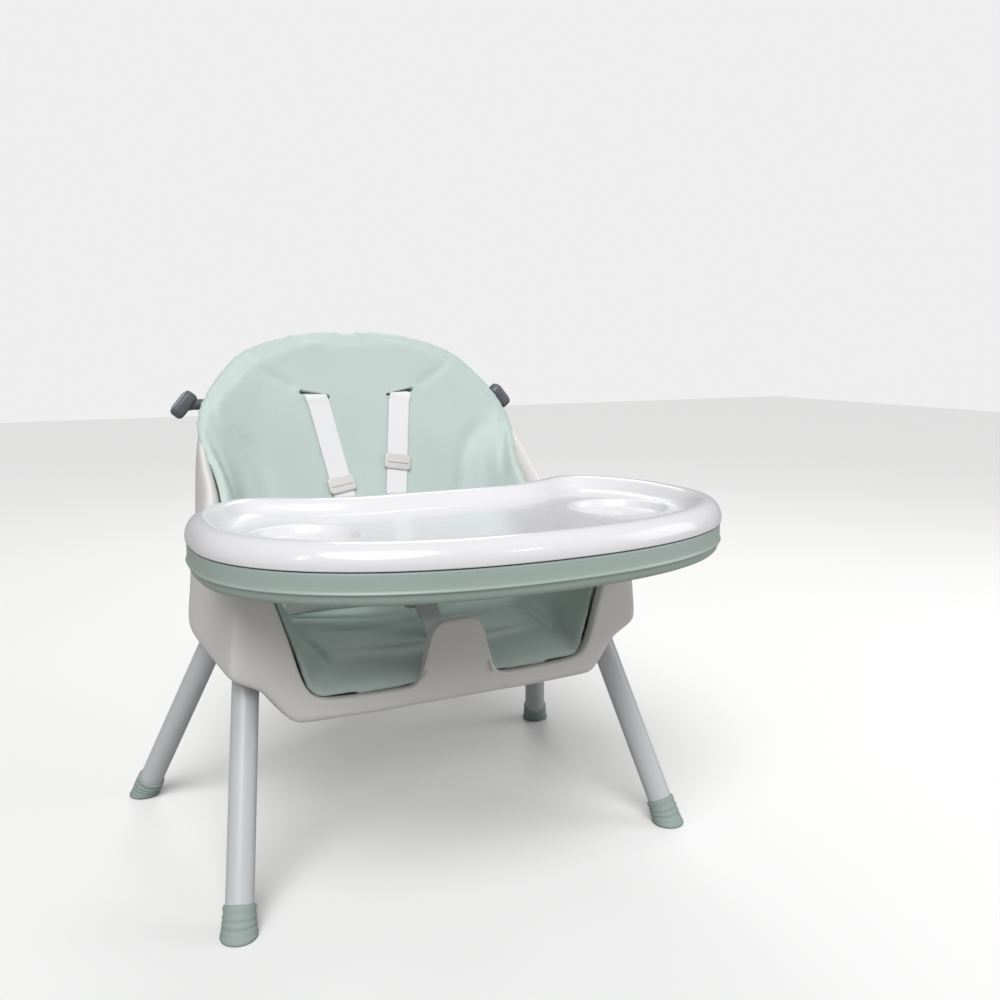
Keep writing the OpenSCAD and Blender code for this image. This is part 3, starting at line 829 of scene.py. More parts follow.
def band_section():
    """Closed section of the tray's band: outer face, lip line, rounded foot, inner wall."""
    seam = mm(sizes().seam_height)
    top, bottom = seam - SEAM_GAP, seam - mm(sizes().band_height)
    lip = bottom + 10
    return [
        (4.6, top), (3.2, top), (1.9, top - 0.15), (1.2, top - 0.8), (1.1, top - 2), (1.2, lip + 8),
        (1.1, lip + 3), (0.9, lip + 1.4), (0.3, lip + 0.7), (0.0, lip + 0.1), (0.3, lip - 0.5),
        (1.3, lip - 1.0), (1.9, lip - 2.2), (2.5, lip - 5), (3.5, bottom + 2.2), (5.2, bottom + 0.5),
        (6.7, bottom), (7.9, bottom + 0.8), (8.1, bottom + 2.4), (7.4, bottom + 5), (5.8, lip),
        (5.0, lip + 5), (4.7, top - 5), (4.6, top - 1),
    ]


def tray_band():
    top = mm(sizes().seam_height) - SEAM_GAP
    angles = tray_angles(TRAY_STEPS)
    rows = tray_ring(band_section(), angles, lambda x, y, z: top - (top - z) * (1 - NOTCH_LIFT * notch(x, y)))
    return outward(add_grid("tray_band", rows, wrap_rows=True, wrap_cols=True))


def tray_deck():
    """Deck under the insert with stiffening ribs below and screw bosses above."""
    top = mm(sizes().seam_height) - 6
    outline = [tray_point(a, 4.4) for a in tray_angles(220)]
    parts = [extrude_outline("deck", outline, top - 2.5, top)]
    for x in (-96, -60, 60, 96):
        y0, y1 = (-215, -52) if abs(x) > 80 else (-232, -52)
        parts.append(shift(block("rib", (2, y1 - y0, 9), 0.9, 0.5, top - 11), x, (y0 + y1) / 2))
    for x, y in screw_places():
        parts.append(lathe("boss", (x, y, top - 0.5), (0, 0, 1),
                           [(0, 5), (0.8, 4.3), (5.2, 4), (5.8, 3.6), (5.8, 1.7)]))
    return join("tray_deck", parts)


def screw_places():
    channels = [(s * RAIL_X, y) for s in (-1, 1) for y in (-50, 0)]
    return channels + [(-138, -40), (138, -40), (0, -60), (0, -190)]


SPRING_MID = (0, -30, 322.5)
SPRING_HALF = 12.9
SPRING_TURNS = 9
SPRING_RADIUS, SPRING_WIRE = 1.7, 0.32


def handle_spring():
    """Coil that keeps the two latch rods apart."""
    path = []
    for t in np.linspace(-1, 1, SPRING_TURNS * 24 + 1):
        a = math.pi * SPRING_TURNS * t
        path.append(vec(*SPRING_MID) + vec(t * (SPRING_HALF - 0.4), SPRING_RADIUS * math.cos(a),
                                           SPRING_RADIUS * math.sin(a)))
    return tube("handle_spring_coil", path, SPRING_WIRE, 8)


class HIGHCHAIR_OT_tray(bpy.types.Operator):
    """Tray: glossy insert with two cup recesses, coloured band, deck and channels"""
    bl_idname = "highchair.tray"
    bl_label = "Tray"

    def execute(self, context):
        insert = thicken(insert_surface(), INSERT_WALL, levels=0)
        insert.name = "tray_insert_shell"
        piece(insert, "gloss", "insert", "tray_insert")
        piece(tray_band(), "mint", "tray", "tray_base")
        piece(tray_deck(), "mint", "tray")
        for side in SIDES:
            keep_node("tray_channel_" + side, "shell")
            keep_node("latch_rod_" + side, "fitting")
        keep_node("latch_cover", "mint")
        keep_node("tray_screws", "steel")
        spring = piece(handle_spring(), "steel", "tray", "handle_spring")
        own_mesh(spring)
        keep_node("release_handle", "mint")
        return {"FINISHED"}


# ---- outer casing ----------------------------------------------------------------

# Front view, right half: edge of the leg opening and post, from the middle outwards
OPENING_EDGE = [
    (0, 247), (16, 246), (25, 240), (30, 226), (34, 208), (38, 194), (45, 186), (60, 184),
    (95, 184), (128, 185), (143, 190), (151, 201), (157, 218), (163, 240), (169, 259),
    (175, 278), (181, 296), (185, 309),
]
# Outside of the casing that each of those points is joined to
SIDE_EDGE = [
    (0, 163), (16, 163), (28, 163), (38, 163), (48, 163), (58, 163), (70, 163), (84, 163),
    (116, 163), (148, 163), (162, 165), (176, 180), (190, 198), (213, 209), (218, 220),
    (215, 250), (213, 280), (212, 308),
]
FRONT_Y = -60
FRONT_BOW = 0.00023
CASING_BACK = 195
BACK_ROUND = 80
BACK_SHRINK = 0.36
BACK_TOP = 292


def front_y(x):
    """Place of the casing's bowed front."""
    return FRONT_Y + FRONT_BOW * x ** 2


def casing_line(inner, outer):
    """One line of the casing's surface, from the lip of the opening out and round to the back."""
    way = vec(outer[0] - inner[0], 0, outer[1] - inner[1])
    length_ = np.linalg.norm(way)
    d = way / length_
    a = vec(inner[0], front_y(inner[0]), inner[1])
    b = vec(outer[0], front_y(outer[0]), outer[1])
    hub = vec(0.6 * outer[0], 0, BACK_TOP)
    line = [a + vec(0, 11, 0), a + vec(0, 4.5, 0), a + 0.8 * d + vec(0, 1.2, 0), a + 2.6 * d, a + 7 * d,
            mix(a, b, 0.35), mix(a, b, 0.65), b - min(9, 0.3 * length_) * d, b - 3 * d + vec(0, 2.2, 0),
            b + vec(0, 9, 0), vec(b[0], 0, b[2]), vec(b[0], 36, b[2]), vec(b[0], 75, b[2])]
    for angle in (12, 35, 55, 75, 90):
        t = math.radians(angle)
        p = mix(b, hub, BACK_SHRINK * (1 - math.cos(t)))
        line.append(vec(p[0], CASING_BACK - BACK_ROUND + BACK_ROUND * math.sin(t), p[2]))
    for t in (0.5, 0.68, 0.84, 0.98):
        p = mix(b, hub, t)
        line.append(vec(p[0], CASING_BACK, p[2]))
    return line


def casing_surface():
    last = len(SIDE_EDGE) - 1
    stations = [s / 2 for s in range(2 * last + 1)]
    half = [casing_line(along(OPENING_EDGE, s), along(SIDE_EDGE, s)) for s in stations]
    whole = [[flip(p, -1) for p in line] for line in half[:0:-1]] + half
    return add_grid("outer_casing", whole)


class HIGHCHAIR_OT_casing(bpy.types.Operator):
    """Outer casing with the two leg openings and the post between them"""
    bl_idname = "highchair.casing"
    bl_label = "Outer Casing"

    def execute(self, context):
        casing = thicken(casing_surface(), mm(sizes().casing_wall), levels=2)
        piece(casing, "shell", "chair", "base_shell")
        return {"FINISHED"}


# ---- seat shell ------------------------------------------------------------------

RIM_Z = 312
# Stations from the front lip, along the seat and up the back: spine y and z, half width
SPINE = [
    (-40, 182, 146), (-28, 196, 144), (0, 203, 140), (60, 202, 140), (115, 200, 142), (147, 205, 142),
    (165, 230, 140), (174, 260, 140), (192, 320, 145), (213, 390, 146), (228, 440, 128),
    (240, 480, 92), (246, 500, 42), (247.5, 505.5, 8),
]
# Edge of the shell at the same stations
RIM = [
    (187, -40, RIM_Z), (188, -28, RIM_Z), (189, 0, RIM_Z), (191, 50, RIM_Z), (191, 84, 315), (190, 98, 329),
    (187, 115, 347), (185.5, 134, 366), (186, 162, 390), (180, 197, 420), (158, 219, 455), (120, 236, 487),
    (62, 245, 503.5), (12, 247.5, 508),
]
# Lower edge of the skirt that turns down or back from the rim
SKIRT = [
    (213.5, -40, 310.4), (213.5, -28, 310.4), (213.5, 0, 310.4), (213.5, 50, 310.4), (213.5, 88, 310.4),
    (213, 110, 310.4), (211, 132, 310.8), (203, 154, 311.4), (196, 182, 340), (186, 206, 392),
    (164, 228, 440), (124, 245, 480), (64, 254, 499), (14, 256, 503.5),
]
# Radius between floor or back and side wall, and width of the flat ledge on the rim
CORNER_R = [(v,) for v in (14, 15, 16, 17, 19, 23, 28, 30, 30, 30, 30, 30, 30, 30)]
LEDGE = [(v,) for v in (24, 23, 22, 20, 17, 13, 10, 8, 6, 4, 3, 2, 1, 1)]


def section(s, wall_end, wall_steps=(0.5, 1.0)):
    """Right half of the shell's section at station s, from the middle outwards."""
    b, r = along(SPINE, s), along(RIM, s)
    corner = vec(b[2], b[0], b[1])
    way = r - corner
    c = min(along(CORNER_R, s)[0], 0.6 * b[2], 0.45 * np.linalg.norm(way))
    a, e = corner - vec(c, 0, 0), corner + unit(way) * c
    points = [vec(b[2] * 0.3, b[0], b[1]), vec(b[2] * 0.6, b[0], b[1])]
    for t in (0, 0.25, 0.5, 0.75, 1):
        points.append(a * (1 - t) ** 2 + corner * 2 * t * (1 - t) + e * t * t)
    points += [mix(e, r, wall_end * t) for t in wall_steps]
    return points


def both_sides(half, s):
    b = along(SPINE, s)
    return [flip(p, -1) for p in half[::-1]] + [vec(0, b[0], b[1])] + half


def shell_row(s):
    half = section(s, 1.0)
    r, k = along(RIM, s), along(SKIRT, s)
    q = r + vec(along(LEDGE, s)[0], 1, -0.5)
    half += [mix(r, q, 0.5) + vec(0, 0, 0.5), q, mix(q, k, 0.5) + vec(0.8, 0, 0), k]
    return both_sides(half, s)


PAD_SLOPE = 0.3
PAD_LEAN = math.atan(PAD_SLOPE)
SLOT_X, SLOT_Z, SLOT_TILT = 52, 450, 12
SLOT_SIZE = (36, 5)


def pad_face_y(z):
    """Place of the back pad's plain face at a height."""
    return 138 + PAD_SLOPE * (z - 225)


def slot_cutter(side, grow):
    """Round-cornered cutter for a shoulder slot."""
    ob = block("slot_cutter", (SLOT_SIZE[0] + grow, SLOT_SIZE[1] + grow, 90), 2.2, 0.4)
    turn = (Matrix.Rotation(-PAD_LEAN, 3, "X") @ Matrix.Rotation(-side * math.radians(SLOT_TILT), 3, "Y")
            @ Matrix.Rotation(math.radians(90), 3, "X"))
    return stand(ob, (side * SLOT_X, pad_face_y(SLOT_Z), SLOT_Z), turn)


class HIGHCHAIR_OT_seat_shell(bpy.types.Operator):
    """Seat shell with its rolled rim, the post cover and the armrests"""
    bl_idname = "highchair.seat_shell"
    bl_label = "Seat Shell"

    def execute(self, context):
        rows = [shell_row(s) for s in np.linspace(0, 13, 40)]
        shell = thicken(add_grid("seat_shell_moulding", rows), mm(sizes().shell_wall), levels=1)
        carve(shell, [slot_cutter(side, 3) for side in SIDES.values()])
        piece(shell, "shell", "chair", "seat_shell")
        piece(post_cover(), "shell", "chair", "post_cover")
        for name, side in SIDES.items():
            piece(armrest(name, side), "shell", "chair", "armrest_" + name)
        return {"FINISHED"}


def post_cover():
    """Plate that closes the hollow crotch post from behind."""
    half = [(33, 198), (31.5, 208), (27.5, 226), (22, 236), (13, 240)]
    outline = half + [(-x, z) for x, z in half[::-1]]
    plate = soften(extrude_outline("post_back", outline, 0, 3), 1.0)
    return stand(plate, (0, -44.5, 0), Matrix.Rotation(math.radians(90), 3, "X"))


RAIL_HALF = 14.5
RAIL_FRONT, RAIL_REAR = -48, 24
RAIL_LOW, RAIL_HIGH = 319.5, 325.5
NOTCHES_Y = (20, -5, -30)
NOTCH_HALF, NOTCH_DEPTH = 4.5, 4


def armrest(name, side):
    """Rounded cap with the notched rail that the tray's channel grips."""
    cap = shift(block("cap", (19, 100, 4.2), 9.3, 1.6, RIM_Z + 0.3), RAIL_X - 0.5, 6)
    stem = shift(block("stem", (18, 72, 9), 2, 0.8, RIM_Z + 2), RAIL_X, -12)
    inner, outer, notch_end = RAIL_X - RAIL_HALF, RAIL_X + RAIL_HALF, RAIL_X - RAIL_HALF + NOTCH_DEPTH
    outline = [(outer, RAIL_FRONT), (outer, RAIL_REAR), (inner, RAIL_REAR)]
    for y in NOTCHES_Y:
        outline += [(inner, y + NOTCH_HALF), (notch_end, y + NOTCH_HALF), (notch_end, y - NOTCH_HALF),
                    (inner, y - NOTCH_HALF)]
    outline.append((inner, RAIL_FRONT))
    rail = soften(extrude_outline("rail", outline, RAIL_LOW, RAIL_HIGH), 0.7)
    return mirror_left(join("armrest_cap_" + name, [cap, stem, rail]), side)


# ---- cushions --------------------------------------------------------------------


PAD_GAP = 1.5


def pad_sheet(name, stations, wall_end, face, lay):
    """Closed pad between the shell and its face.

    face gives the thickness at place u, v, and lay moves a point of the shell to where the pad lies."""
    rows = [[lay(p, s) for p in both_sides(section(s, wall_end(s), (0.34, 0.67, 1.0)), s)] for s in stations]
    n, m = len(rows), len(rows[0])
    pts = np.array(rows)
    across = np.gradient(pts, axis=1)
    down = np.gradient(pts, axis=0)
    normal = np.cross(down, across)
    normal /= np.linalg.norm(normal, axis=2)[:, :, None]
    near, far = np.zeros_like(pts), np.zeros_like(pts)
    for i in range(n):
        v = i / (n - 1)
        for j in range(m):
            u = abs(j - (m - 1) / 2) / ((m - 1) / 2)
            near[i, j] = pts[i, j] - PAD_GAP * normal[i, j]
            far[i, j] = pts[i, j] - (PAD_GAP + face(u, v)) * normal[i, j]
    points = [p for row in near for p in row] + [p for row in far for p in row]
    faces = grid_faces(n, m) + [f[::-1] for f in grid_faces(n, m, start=n * m)]
    edge = ([(0, j) for j in range(m - 1)] + [(i, m - 1) for i in range(n - 1)]
            + [(n - 1, j) for j in range(m - 1, 0, -1)] + [(i, 0) for i in range(n - 1, 0, -1)])
    ids = [i * m + j for i, j in edge]
    for a, b in zip(ids, ids[1:] + ids[:1]):
        faces.append([a, b, n * m + b, n * m + a])
    return outward(add_mesh(name, points, faces))


VOXEL = 4.0
PRESSURE = 4.0
CLOTH_FRAMES = 20


def puff(ob, cap, front):
    """Blows a pad up as cloth, holds every point within cap of its start, and smooths it.

    Only what faces front swells; the side against the shell stays where it rests."""
    modify(ob, "REMESH", mode="VOXEL", voxel_size=VOXEL * MM)
    settle(ob)
    start, normals = points_of(ob)
    open_side = np.clip(normals @ np.array(front) + 0.1, 0, 1)
    cloth = modify(ob, "CLOTH")
    cloth.settings.use_pressure = True
    cloth.settings.uniform_pressure_force = PRESSURE
    cloth.settings.effector_weights.gravity = 0
    scene = bpy.context.scene
    for number in range(1, CLOTH_FRAMES + 1):
        scene.frame_set(number)
    settle(ob)
    scene.frame_set(1)
    move = points_of(ob)[0] - start
    size = np.linalg.norm(move, axis=1)
    move *= (open_side * np.minimum(size, cap * MM) / np.maximum(size, 1e-9))[:, None]
    set_points(ob, start + move)
    modify(ob, "SMOOTH", factor=0.5, iterations=6)
    modify(ob, "SUBSURF", levels=1, render_levels=1)
    settle(ob)
    ob.data.shade_smooth()
    return ob


FORWARD, UPWARD = (0, -1, 0), (0, 0, 1)
CREASE_STEPS = 60
CREASE_FADE = 0.22


def press_lines(ob, lines, depth, width, facing):
    """Presses creases that fade out at their ends into the face of a pad, along lines drawn square to it."""
    co, normals = points_of(ob)
    co /= MM
    plane = [0, 1] if facing is UPWARD else [0, 2]
    faces_us = normals @ np.array(facing) > 0.25
    for line in lines:
        fine = np.array(resample(line, CREASE_STEPS))
        gaps = np.linalg.norm(co[:, None, plane] - fine[None, :, :2], axis=2)
        place = gaps.argmin(axis=1) / (CREASE_STEPS - 1)
        fade = np.clip(np.minimum(place, 1 - place) / CREASE_FADE, 0, 1)
        amount = depth * fade * np.exp(-(gaps.min(axis=1) / width) ** 2) * faces_us
        co -= amount[:, None] * normals
    return set_points(ob, co * MM)


def mirrored_lines(lines):
    return lines + [[(-x, z) for x, z in line] for line in lines]


BACK_MIDDLE = vec(0, 215, 400)
BACK_OVERHANG = vec(0.066, 0.06, 0.125)
OVERHANG_REACH = 45


def lay_back(p, s):
    """Lets the upper part of the back cushion stand out over the shell's edge."""
    edge = flip(along(RIM, s), math.copysign(1, p[0]))
    near = 1 - smooth(np.linalg.norm(p - edge) / OVERHANG_REACH)
    return p + (p - BACK_MIDDLE) * BACK_OVERHANG * near * smooth((s - 7.2) / 2.2)


def back_thickness(u, v, pad, side):
    body = mix(pad - 3, side + 1, smooth((u - 0.45) / 0.55))
    return body * mix(0.72, 1.0, smooth((1 - v) / 0.16))


SEAT_FORWARD = 13


def lay_seat(p, s):
    """Brings the front edge of the seat cushion up against the casing's curved lip."""
    near = 1 - smooth(s / 0.9)
    return p + vec(0, near * (FRONT_BOW * p[0] ** 2 - SEAT_FORWARD), 0)


def seat_thickness(u, v, pad, side):
    body = mix(pad - 3, side - 2, smooth((u - 0.45) / 0.55))
    return body * mix(0.7, 1.0, smooth(v / 0.2))


class HIGHCHAIR_OT_cushions(bpy.types.Operator):
    """Seat and back cushions, blown up as cloth and creased along their seams"""
    bl_idname = "highchair.cushions"
    bl_label = "Cushions"

    def execute(self, context):
        pad, seat_pad, side = mm(sizes().pad), mm(sizes().seat_pad), mm(sizes().side_pad)
        back = pad_sheet("back_cushion_cover", np.linspace(4.7, 13.0, 42),
                         lambda s: 0.9 + 0.1 * smooth((s - 7.6) / 1.2),
                         lambda u, v: back_thickness(u, v, pad, side), lay_back)
        puff(back, 4.5, FORWARD)
        bolster = [(112, 318), (117, 345), (122, 372), (134, 394), (156, 418)]
        shoulder = [(72, 455), (86, 463), (104, 474), (124, 490)]
        press_lines(back, mirrored_lines([bolster]), 2.6, 9.0, FORWARD)
        press_lines(back, mirrored_lines([shoulder]), 1.5, 6, FORWARD)
        carve(back, [slot_cutter(s, 0) for s in SIDES.values()])
        piece(back, "padding", "chair", "back_cushion")
        seat = pad_sheet("seat_cushion_cover", np.linspace(0.0, 5.05, 27), lambda s: 0.9,
                         lambda u, v: seat_thickness(u, v, seat_pad, side), lay_seat)
        puff(seat, 3.5, UPWARD)
        press_folds(seat)
        corner = [(122, -34), (124, 0), (126, 50), (124, 110)]
        front_roll = [(-118, -16), (-60, -20), (0, -22), (60, -20), (118, -16)]
        slack = [(-110, 62), (-50, 48), (10, 52), (70, 40), (112, 54)]
        press_lines(seat, mirrored_lines([corner]), 3.4, 4.5, UPWARD)
        press_lines(seat, [front_roll, slack], 2.2, 6, UPWARD)
        piece(seat, "padding", "chair", "seat_cushion")
        return {"FINISHED"}


FOLD_HEIGHT = 1.9


def press_folds(ob):
    """Slack folds in the seat cover: long shallow waves across the floor."""
    co, normals = points_of(ob)
    co /= MM
    for k in np.flatnonzero(normals[:, 2] > 0.2):
        x, y, z = co[k]
        wave = noise.noise(Vector((x / 90, y / 34, 3.1))) + 0.5 * noise.noise(Vector((x / 40, y / 15, 7.7)))
        co[k] += normals[k] * FOLD_HEIGHT * wave * smooth((y + 46) / 22) * smooth((235 - z) / 20)
    set_points(ob, co * MM)


# ---- legs ------------------------------------------------------------------------

JOINT_Z = 169
FRONT_LEG = (vec(230, -97, 0), vec(199, -19, JOINT_Z))
REAR_LEG = (vec(256, 238, 0), vec(203, 148, JOINT_Z))
LEGS = {
    "front_left": (-1, FRONT_LEG), "front_right": (1, FRONT_LEG),
    "rear_left": (-1, REAR_LEG), "rear_right": (1, REAR_LEG),
}
TUBE_LOW, TUBE_TOP = 10, 232
LEG_STEPS = 64


def leg_at(leg, z):
    side, (foot, top) = leg
    return flip(mix(foot, top, z / JOINT_Z), side)


def leg_axis(leg):
    return unit(leg_at(leg, JOINT_Z) - leg_at(leg, 0))


def leg_tube(name, leg):
    """Painted tube with rolled ends."""
    r = mm(sizes().leg_diameter) / 2
    start = leg_at(leg, TUBE_LOW)
    run = np.linalg.norm(leg_at(leg, TUBE_TOP) - start)
    profile = [(0, r - 1.5), (0, r - 0.6), (0.6, r)]
    profile += [(h, r) for h in np.linspace(4, run - 4, 14)]
    profile += [(run - 0.6, r), (run, r - 0.6), (run, r - 1.5), (run - 12, r - 1.5)]
    return lathe("leg_tube_" + name, start, leg_axis(leg), profile, LEG_STEPS)


def foot_cap(name, leg):
    """Cap that is flat on the floor and turns square to the leg at its top, with grip ribs."""
    r = mm(sizes().leg_diameter) / 2
    h = mm(sizes().foot_height)
    profile = [(0, 0.05), (0, r + 2.4), (0.5, r + 3.4), (1.6, r + 3.9), (3.2, r + 3.9), (4.2, r + 3.3)]
    for k in range(3):
        z = 6 + 4.4 * k
        grow = 3.0 - 0.3 * k
        profile += [(z, r + grow), (z + 1.5, r + grow), (z + 2.2, r + grow - 0.8), (z + 3.6, r + grow - 0.8)]
    profile += [(h - 2.5, r + 2.1), (h - 1, r + 2.0), (h - 0.2, r + 1.5), (h, r + 0.7), (h, r + 0.1),
                (h - 3, r + 0.05)]
    axis = leg_axis(leg)
    rows = []
    for z, radius in profile:
        lean = unit(mix(vec(0, 0, 1), axis, smooth(z / h)))
        a = unit(np.cross(vec(0, 1, 0), lean))
        rows.append(ring(leg_at(leg, z), radius, a, np.cross(lean, a), LEG_STEPS))
    return closed_rings("foot_" + name, rows)


class HIGHCHAIR_OT_legs(bpy.types.Operator):
    """Leg tubes, their sockets, release buttons and foot caps"""
    bl_idname = "highchair.legs"
    bl_label = "Legs"

    def execute(self, context):
        for name, leg in LEGS.items():
            piece(leg_tube(name, leg), "paint", "chair", "leg_" + name)
            piece(foot_cap(name, leg), "foot", "chair", "foot_cap_" + name)
            keep_node("leg_socket_" + name, "shell")
            keep_node("leg_button_" + name, "grey_highlight")
        return {"FINISHED"}


# ---- harness ---------------------------------------------------------------------

STRAP_GAP = 2.5
WEB_STEPS = 14


def strap_y(z):
    return pad_face_y(z) - STRAP_GAP / math.cos(PAD_LEAN)


STRAP_TOP = vec(50, strap_y(446), 446)
STRAP_LOW = vec(33, strap_y(345), 345)


class Surface:
    """Front of a cushion, asked for its place at an x and z."""

    def __init__(self, ob):
        self.tree = BVHTree.FromObject(ob, bpy.context.evaluated_depsgraph_get())

    def front(self, x, z):
        hit = self.tree.ray_cast(Vector((x, -100, z)) * MM, Vector((0, 1, 0)))[0]
        return mm(hit.y) if hit else pad_face_y(z)

    def under_band(self, x, z, half):
        """Frontmost place of the surface under a band of webbing."""
        return min(self.front(x + t * half, z) for t in (-0.9, -0.45, 0, 0.45, 0.9))


def ribbon(name, points, across):
    """Band of webbing along a smooth curve, with soft edges and a weave map in metres."""
    half, t = mm(sizes().web_width) / 2, mm(sizes().web_thickness)
    count = (len(points) - 1) * WEB_STEPS + 1
    line = resample(points, count)
    wide = [unit(w) for w in resample(across, count)]
    shape = [(-half, 0.5), (-half + 0.15, 0.12), (-half + 0.6, 0)]
    shape += [(x, 0) for x in np.linspace(-half * 0.8, half * 0.8, 7)]
    shape += [(half - 0.6, 0), (half - 0.15, 0.12), (half, 0.5)]
    shape += [(-x, 1 - y) for x, y in shape[1:-1]]
    rows, travel, far = [], [], 0.0
    for k, p in enumerate(line):
        way = unit(line[min(k + 1, count - 1)] - line[max(k - 1, 0)])
        normal = unit(np.cross(way, wide[k]))
        side = np.cross(normal, way)
        rows.append([p + x * side + y * t * normal for x, y in shape])
        far += np.linalg.norm(p - line[max(k - 1, 0)])
        travel.append(far)
    m = len(shape)
    points_all = [p for row in rows for p in row]
    faces = grid_faces(count, m, wrap_cols=True)
    faces += [list(range(m)), list(range((count - 1) * m, count * m))[::-1]]
    mesh = bpy.data.meshes.new(name)
    mesh.from_pydata([tuple(p * MM) for p in points_all], [], faces)
    layer = mesh.uv_layers.new(name="Weave")
    for loop in mesh.loops:
        i, j = divmod(loop.vertex_index, m)
        layer.data[loop.index].uv = (shape[j][0] * MM, travel[i] * MM)
    mesh.update()
    mesh.shade_smooth()
    ob = new_object(name, mesh)
    bm = bmesh.new()
    bm.from_mesh(mesh)
    bmesh.ops.recalc_face_normals(bm, faces=bm.faces)
    bm.to_mesh(mesh)
    bm.free()
    return dress(ob, "web")


def strap_line(side, t):
    """Place at t from the slot down the back, in x and z."""
    p = flip(mix(STRAP_TOP, STRAP_LOW, t), side)
    return p[0], p[2]


def shoulder_points(side, back):
    """From behind the back through the slot's lower lip, down the cushion and out to the buckle."""
    half, lift = mm(sizes().web_width) / 2, 0.5
    lip_x, lip_z = side * (SLOT_X - 0.6), SLOT_Z - 2.6
    lip_y = back.under_band(lip_x, lip_z - 3, half)
    points = [vec(lip_x, lip_y + 22, lip_z + 3.2), vec(lip_x, lip_y + 9, lip_z + 1.2),
              vec(lip_x, lip_y + 2.2, lip_z + 0.6), vec(lip_x, lip_y - 0.5, lip_z - 1.6)]
    for t in (0.08, 0.2, 0.35, 0.5, 0.65, 0.8, 0.95, 1.08, 1.16):
        x, z = strap_line(side, t)
        points.append(vec(x, back.under_band(x, z, half) - lift, z))
    return points + [flip(p, side) for p in (vec(27, 132, 312), vec(21, 90, 290), vec(16, 62, 279))]


# Places down each strap, of the sleeve and of the two points that give its lean, and the drop between them
SLEEVE_AT = {-1: (0.96, 0.86, 1.0), 1: (0.75, 0.65, 0.85)}
SLEEVE_DROP = {-1: 10.1, 1: 20.2}


def adjuster(name, side, back):
    """Sleeve with round ends and a middle bar, set on the strap."""
    w = mm(sizes().web_width)
    middle, above, below = SLEEVE_AT[side]
    x, z = strap_line(side, middle)
    high, low = (back.under_band(*strap_line(side, t), w / 2) for t in (above, below))
    lean = min(max(math.atan2(high - low, SLEEVE_DROP[side]), 0.15), 0.45)
    way = unit(flip(STRAP_TOP - STRAP_LOW, side))
    turn = Matrix.Rotation(-lean, 3, "X") @ Matrix.Rotation(math.atan2(way[0], way[2]), 3, "Y")
    upright = Matrix.Rotation(math.radians(90), 3, "X")
    shell = stand(block("sleeve", (w + 7, 19, 5.2), 4.2, 1.8), (0, 0, 0), upright)
    bar = stand(block("bar", (w + 1, 3.4, 1.4), 1.2, 0.6), (0, -2.8, 0), upright)
    ob = join("adjuster_plate_" + name, [shell, bar])
    stand(ob, (x, back.under_band(x, z, w / 2) - 1.6, z), turn)
    return dress(ob, "fitting")


WAIST_PATH = [(118, 122, 232), (92, 104, 240), (66, 84, 252), (42, 66, 268), (34, 58, 277)]
WAIST_ACROSS = [(0.15, -0.1, 1), (0.3, 0.1, 1), (0.5, 0.4, 0.9), (0.6, 0.6, 0.6), (0.6, 0.7, 0.5)]
CROTCH_PATH = [(0, -11, 212), (0, -9, 222), (0, 0, 229), (0, 12, 236), (0, 21.1, 246.7)]


class HIGHCHAIR_OT_harness(bpy.types.Operator):
    """Five-point harness: webbing, sliders, buckle and tongues"""
    bl_idname = "highchair.harness"
    bl_label = "Harness"

    def execute(self, context):
        back = Surface(bpy.data.objects["back_cushion_cover"])
        for name, side in SIDES.items():
            points = shoulder_points(side, back)
            strap = ribbon("shoulder_webbing_" + name, points, [vec(1, 0, 0)] * len(points))
            piece(strap, "web", "chair", "shoulder_strap_" + name)
            piece(adjuster(name, side, back), "fitting", "adjuster_" + name, "shoulder_adjuster_" + name)
            points = [flip(p, side) for p in WAIST_PATH]
            across = [flip(v, side) for v in WAIST_ACROSS]
            waist = ribbon("waist_webbing_" + name, points, across)
            piece(waist, "web", "chair", "waist_strap_" + name)
            keep_node("buckle_tongue_" + name, "fitting")
        points = [vec(*p) for p in CROTCH_PATH]
        piece(ribbon("crotch_webbing", points, [vec(1, 0, 0)] * len(points)), "web", "chair", "crotch_strap")
        keep_node("buckle_body", "fitting")
        keep_node("buckle_button", "grey_highlight")
        keep_node("strap_anchors", "grey")
        return {"FINISHED"}


# ---- pegs ------------------------------------------------------------------------

PEG_MID = (194, 226, 441)
PEG_TILT = 50


def storage_peg(name, side):
    """Rounded grey block on a short neck, its face painted lighter as a painted highlight."""
    tilt = Matrix.Rotation(math.radians(PEG_TILT), 3, "Y")
    body = dress(block("body", (32, 18, 14), 8, 3.6), "grey")
    # Painted highlight: the face is a lightened copy of the block's grey plastic
    face = dress(block("face", (24, 11.5, 2.6), 5.5, 1.1, 5.4), "grey_highlight")
    neck = lathe("neck", (163, 221, 441), (27, 5, 0), [(0, 5.2), (1, 6), (22, 6), (26, 6.8)])
    ob = join("storage_peg_" + name + "_block",
              [stand(body, PEG_MID, tilt), stand(face, PEG_MID, tilt), dress(neck, "grey")])
    return mirror_left(ob, side)


class HIGHCHAIR_OT_pegs(bpy.types.Operator):
    """Grey pegs beside the back"""
    bl_idname = "highchair.pegs"
    bl_label = "Storage Pegs"

    def execute(self, context):
        for name, side in SIDES.items():
            piece(storage_peg(name, side), "grey", "chair", "storage_peg_" + name)
        return {"FINISHED"}


# ---- stage -----------------------------------------------------------------------

CAMERA_PLACE = (-0.4126, -0.9294, 0.5137)
CAMERA_YAW = -27.77
CAMERA_DROP = 8.99
CAMERA_LENS = 37.04


def area_light(name, place, target, size, power):
    data = bpy.data.lights.new(name, "AREA")
    data.shape = "RECTANGLE"
    data.size, data.size_y = size
    data.energy = power
    lamp = bpy.data.objects.new(name, data)
    bpy.context.scene.collection.objects.link(lamp)
    lamp.location = place
    lamp.rotation_euler = (Vector(target) - Vector(place)).to_track_quat("-Z", "Y").to_euler()
    return lamp


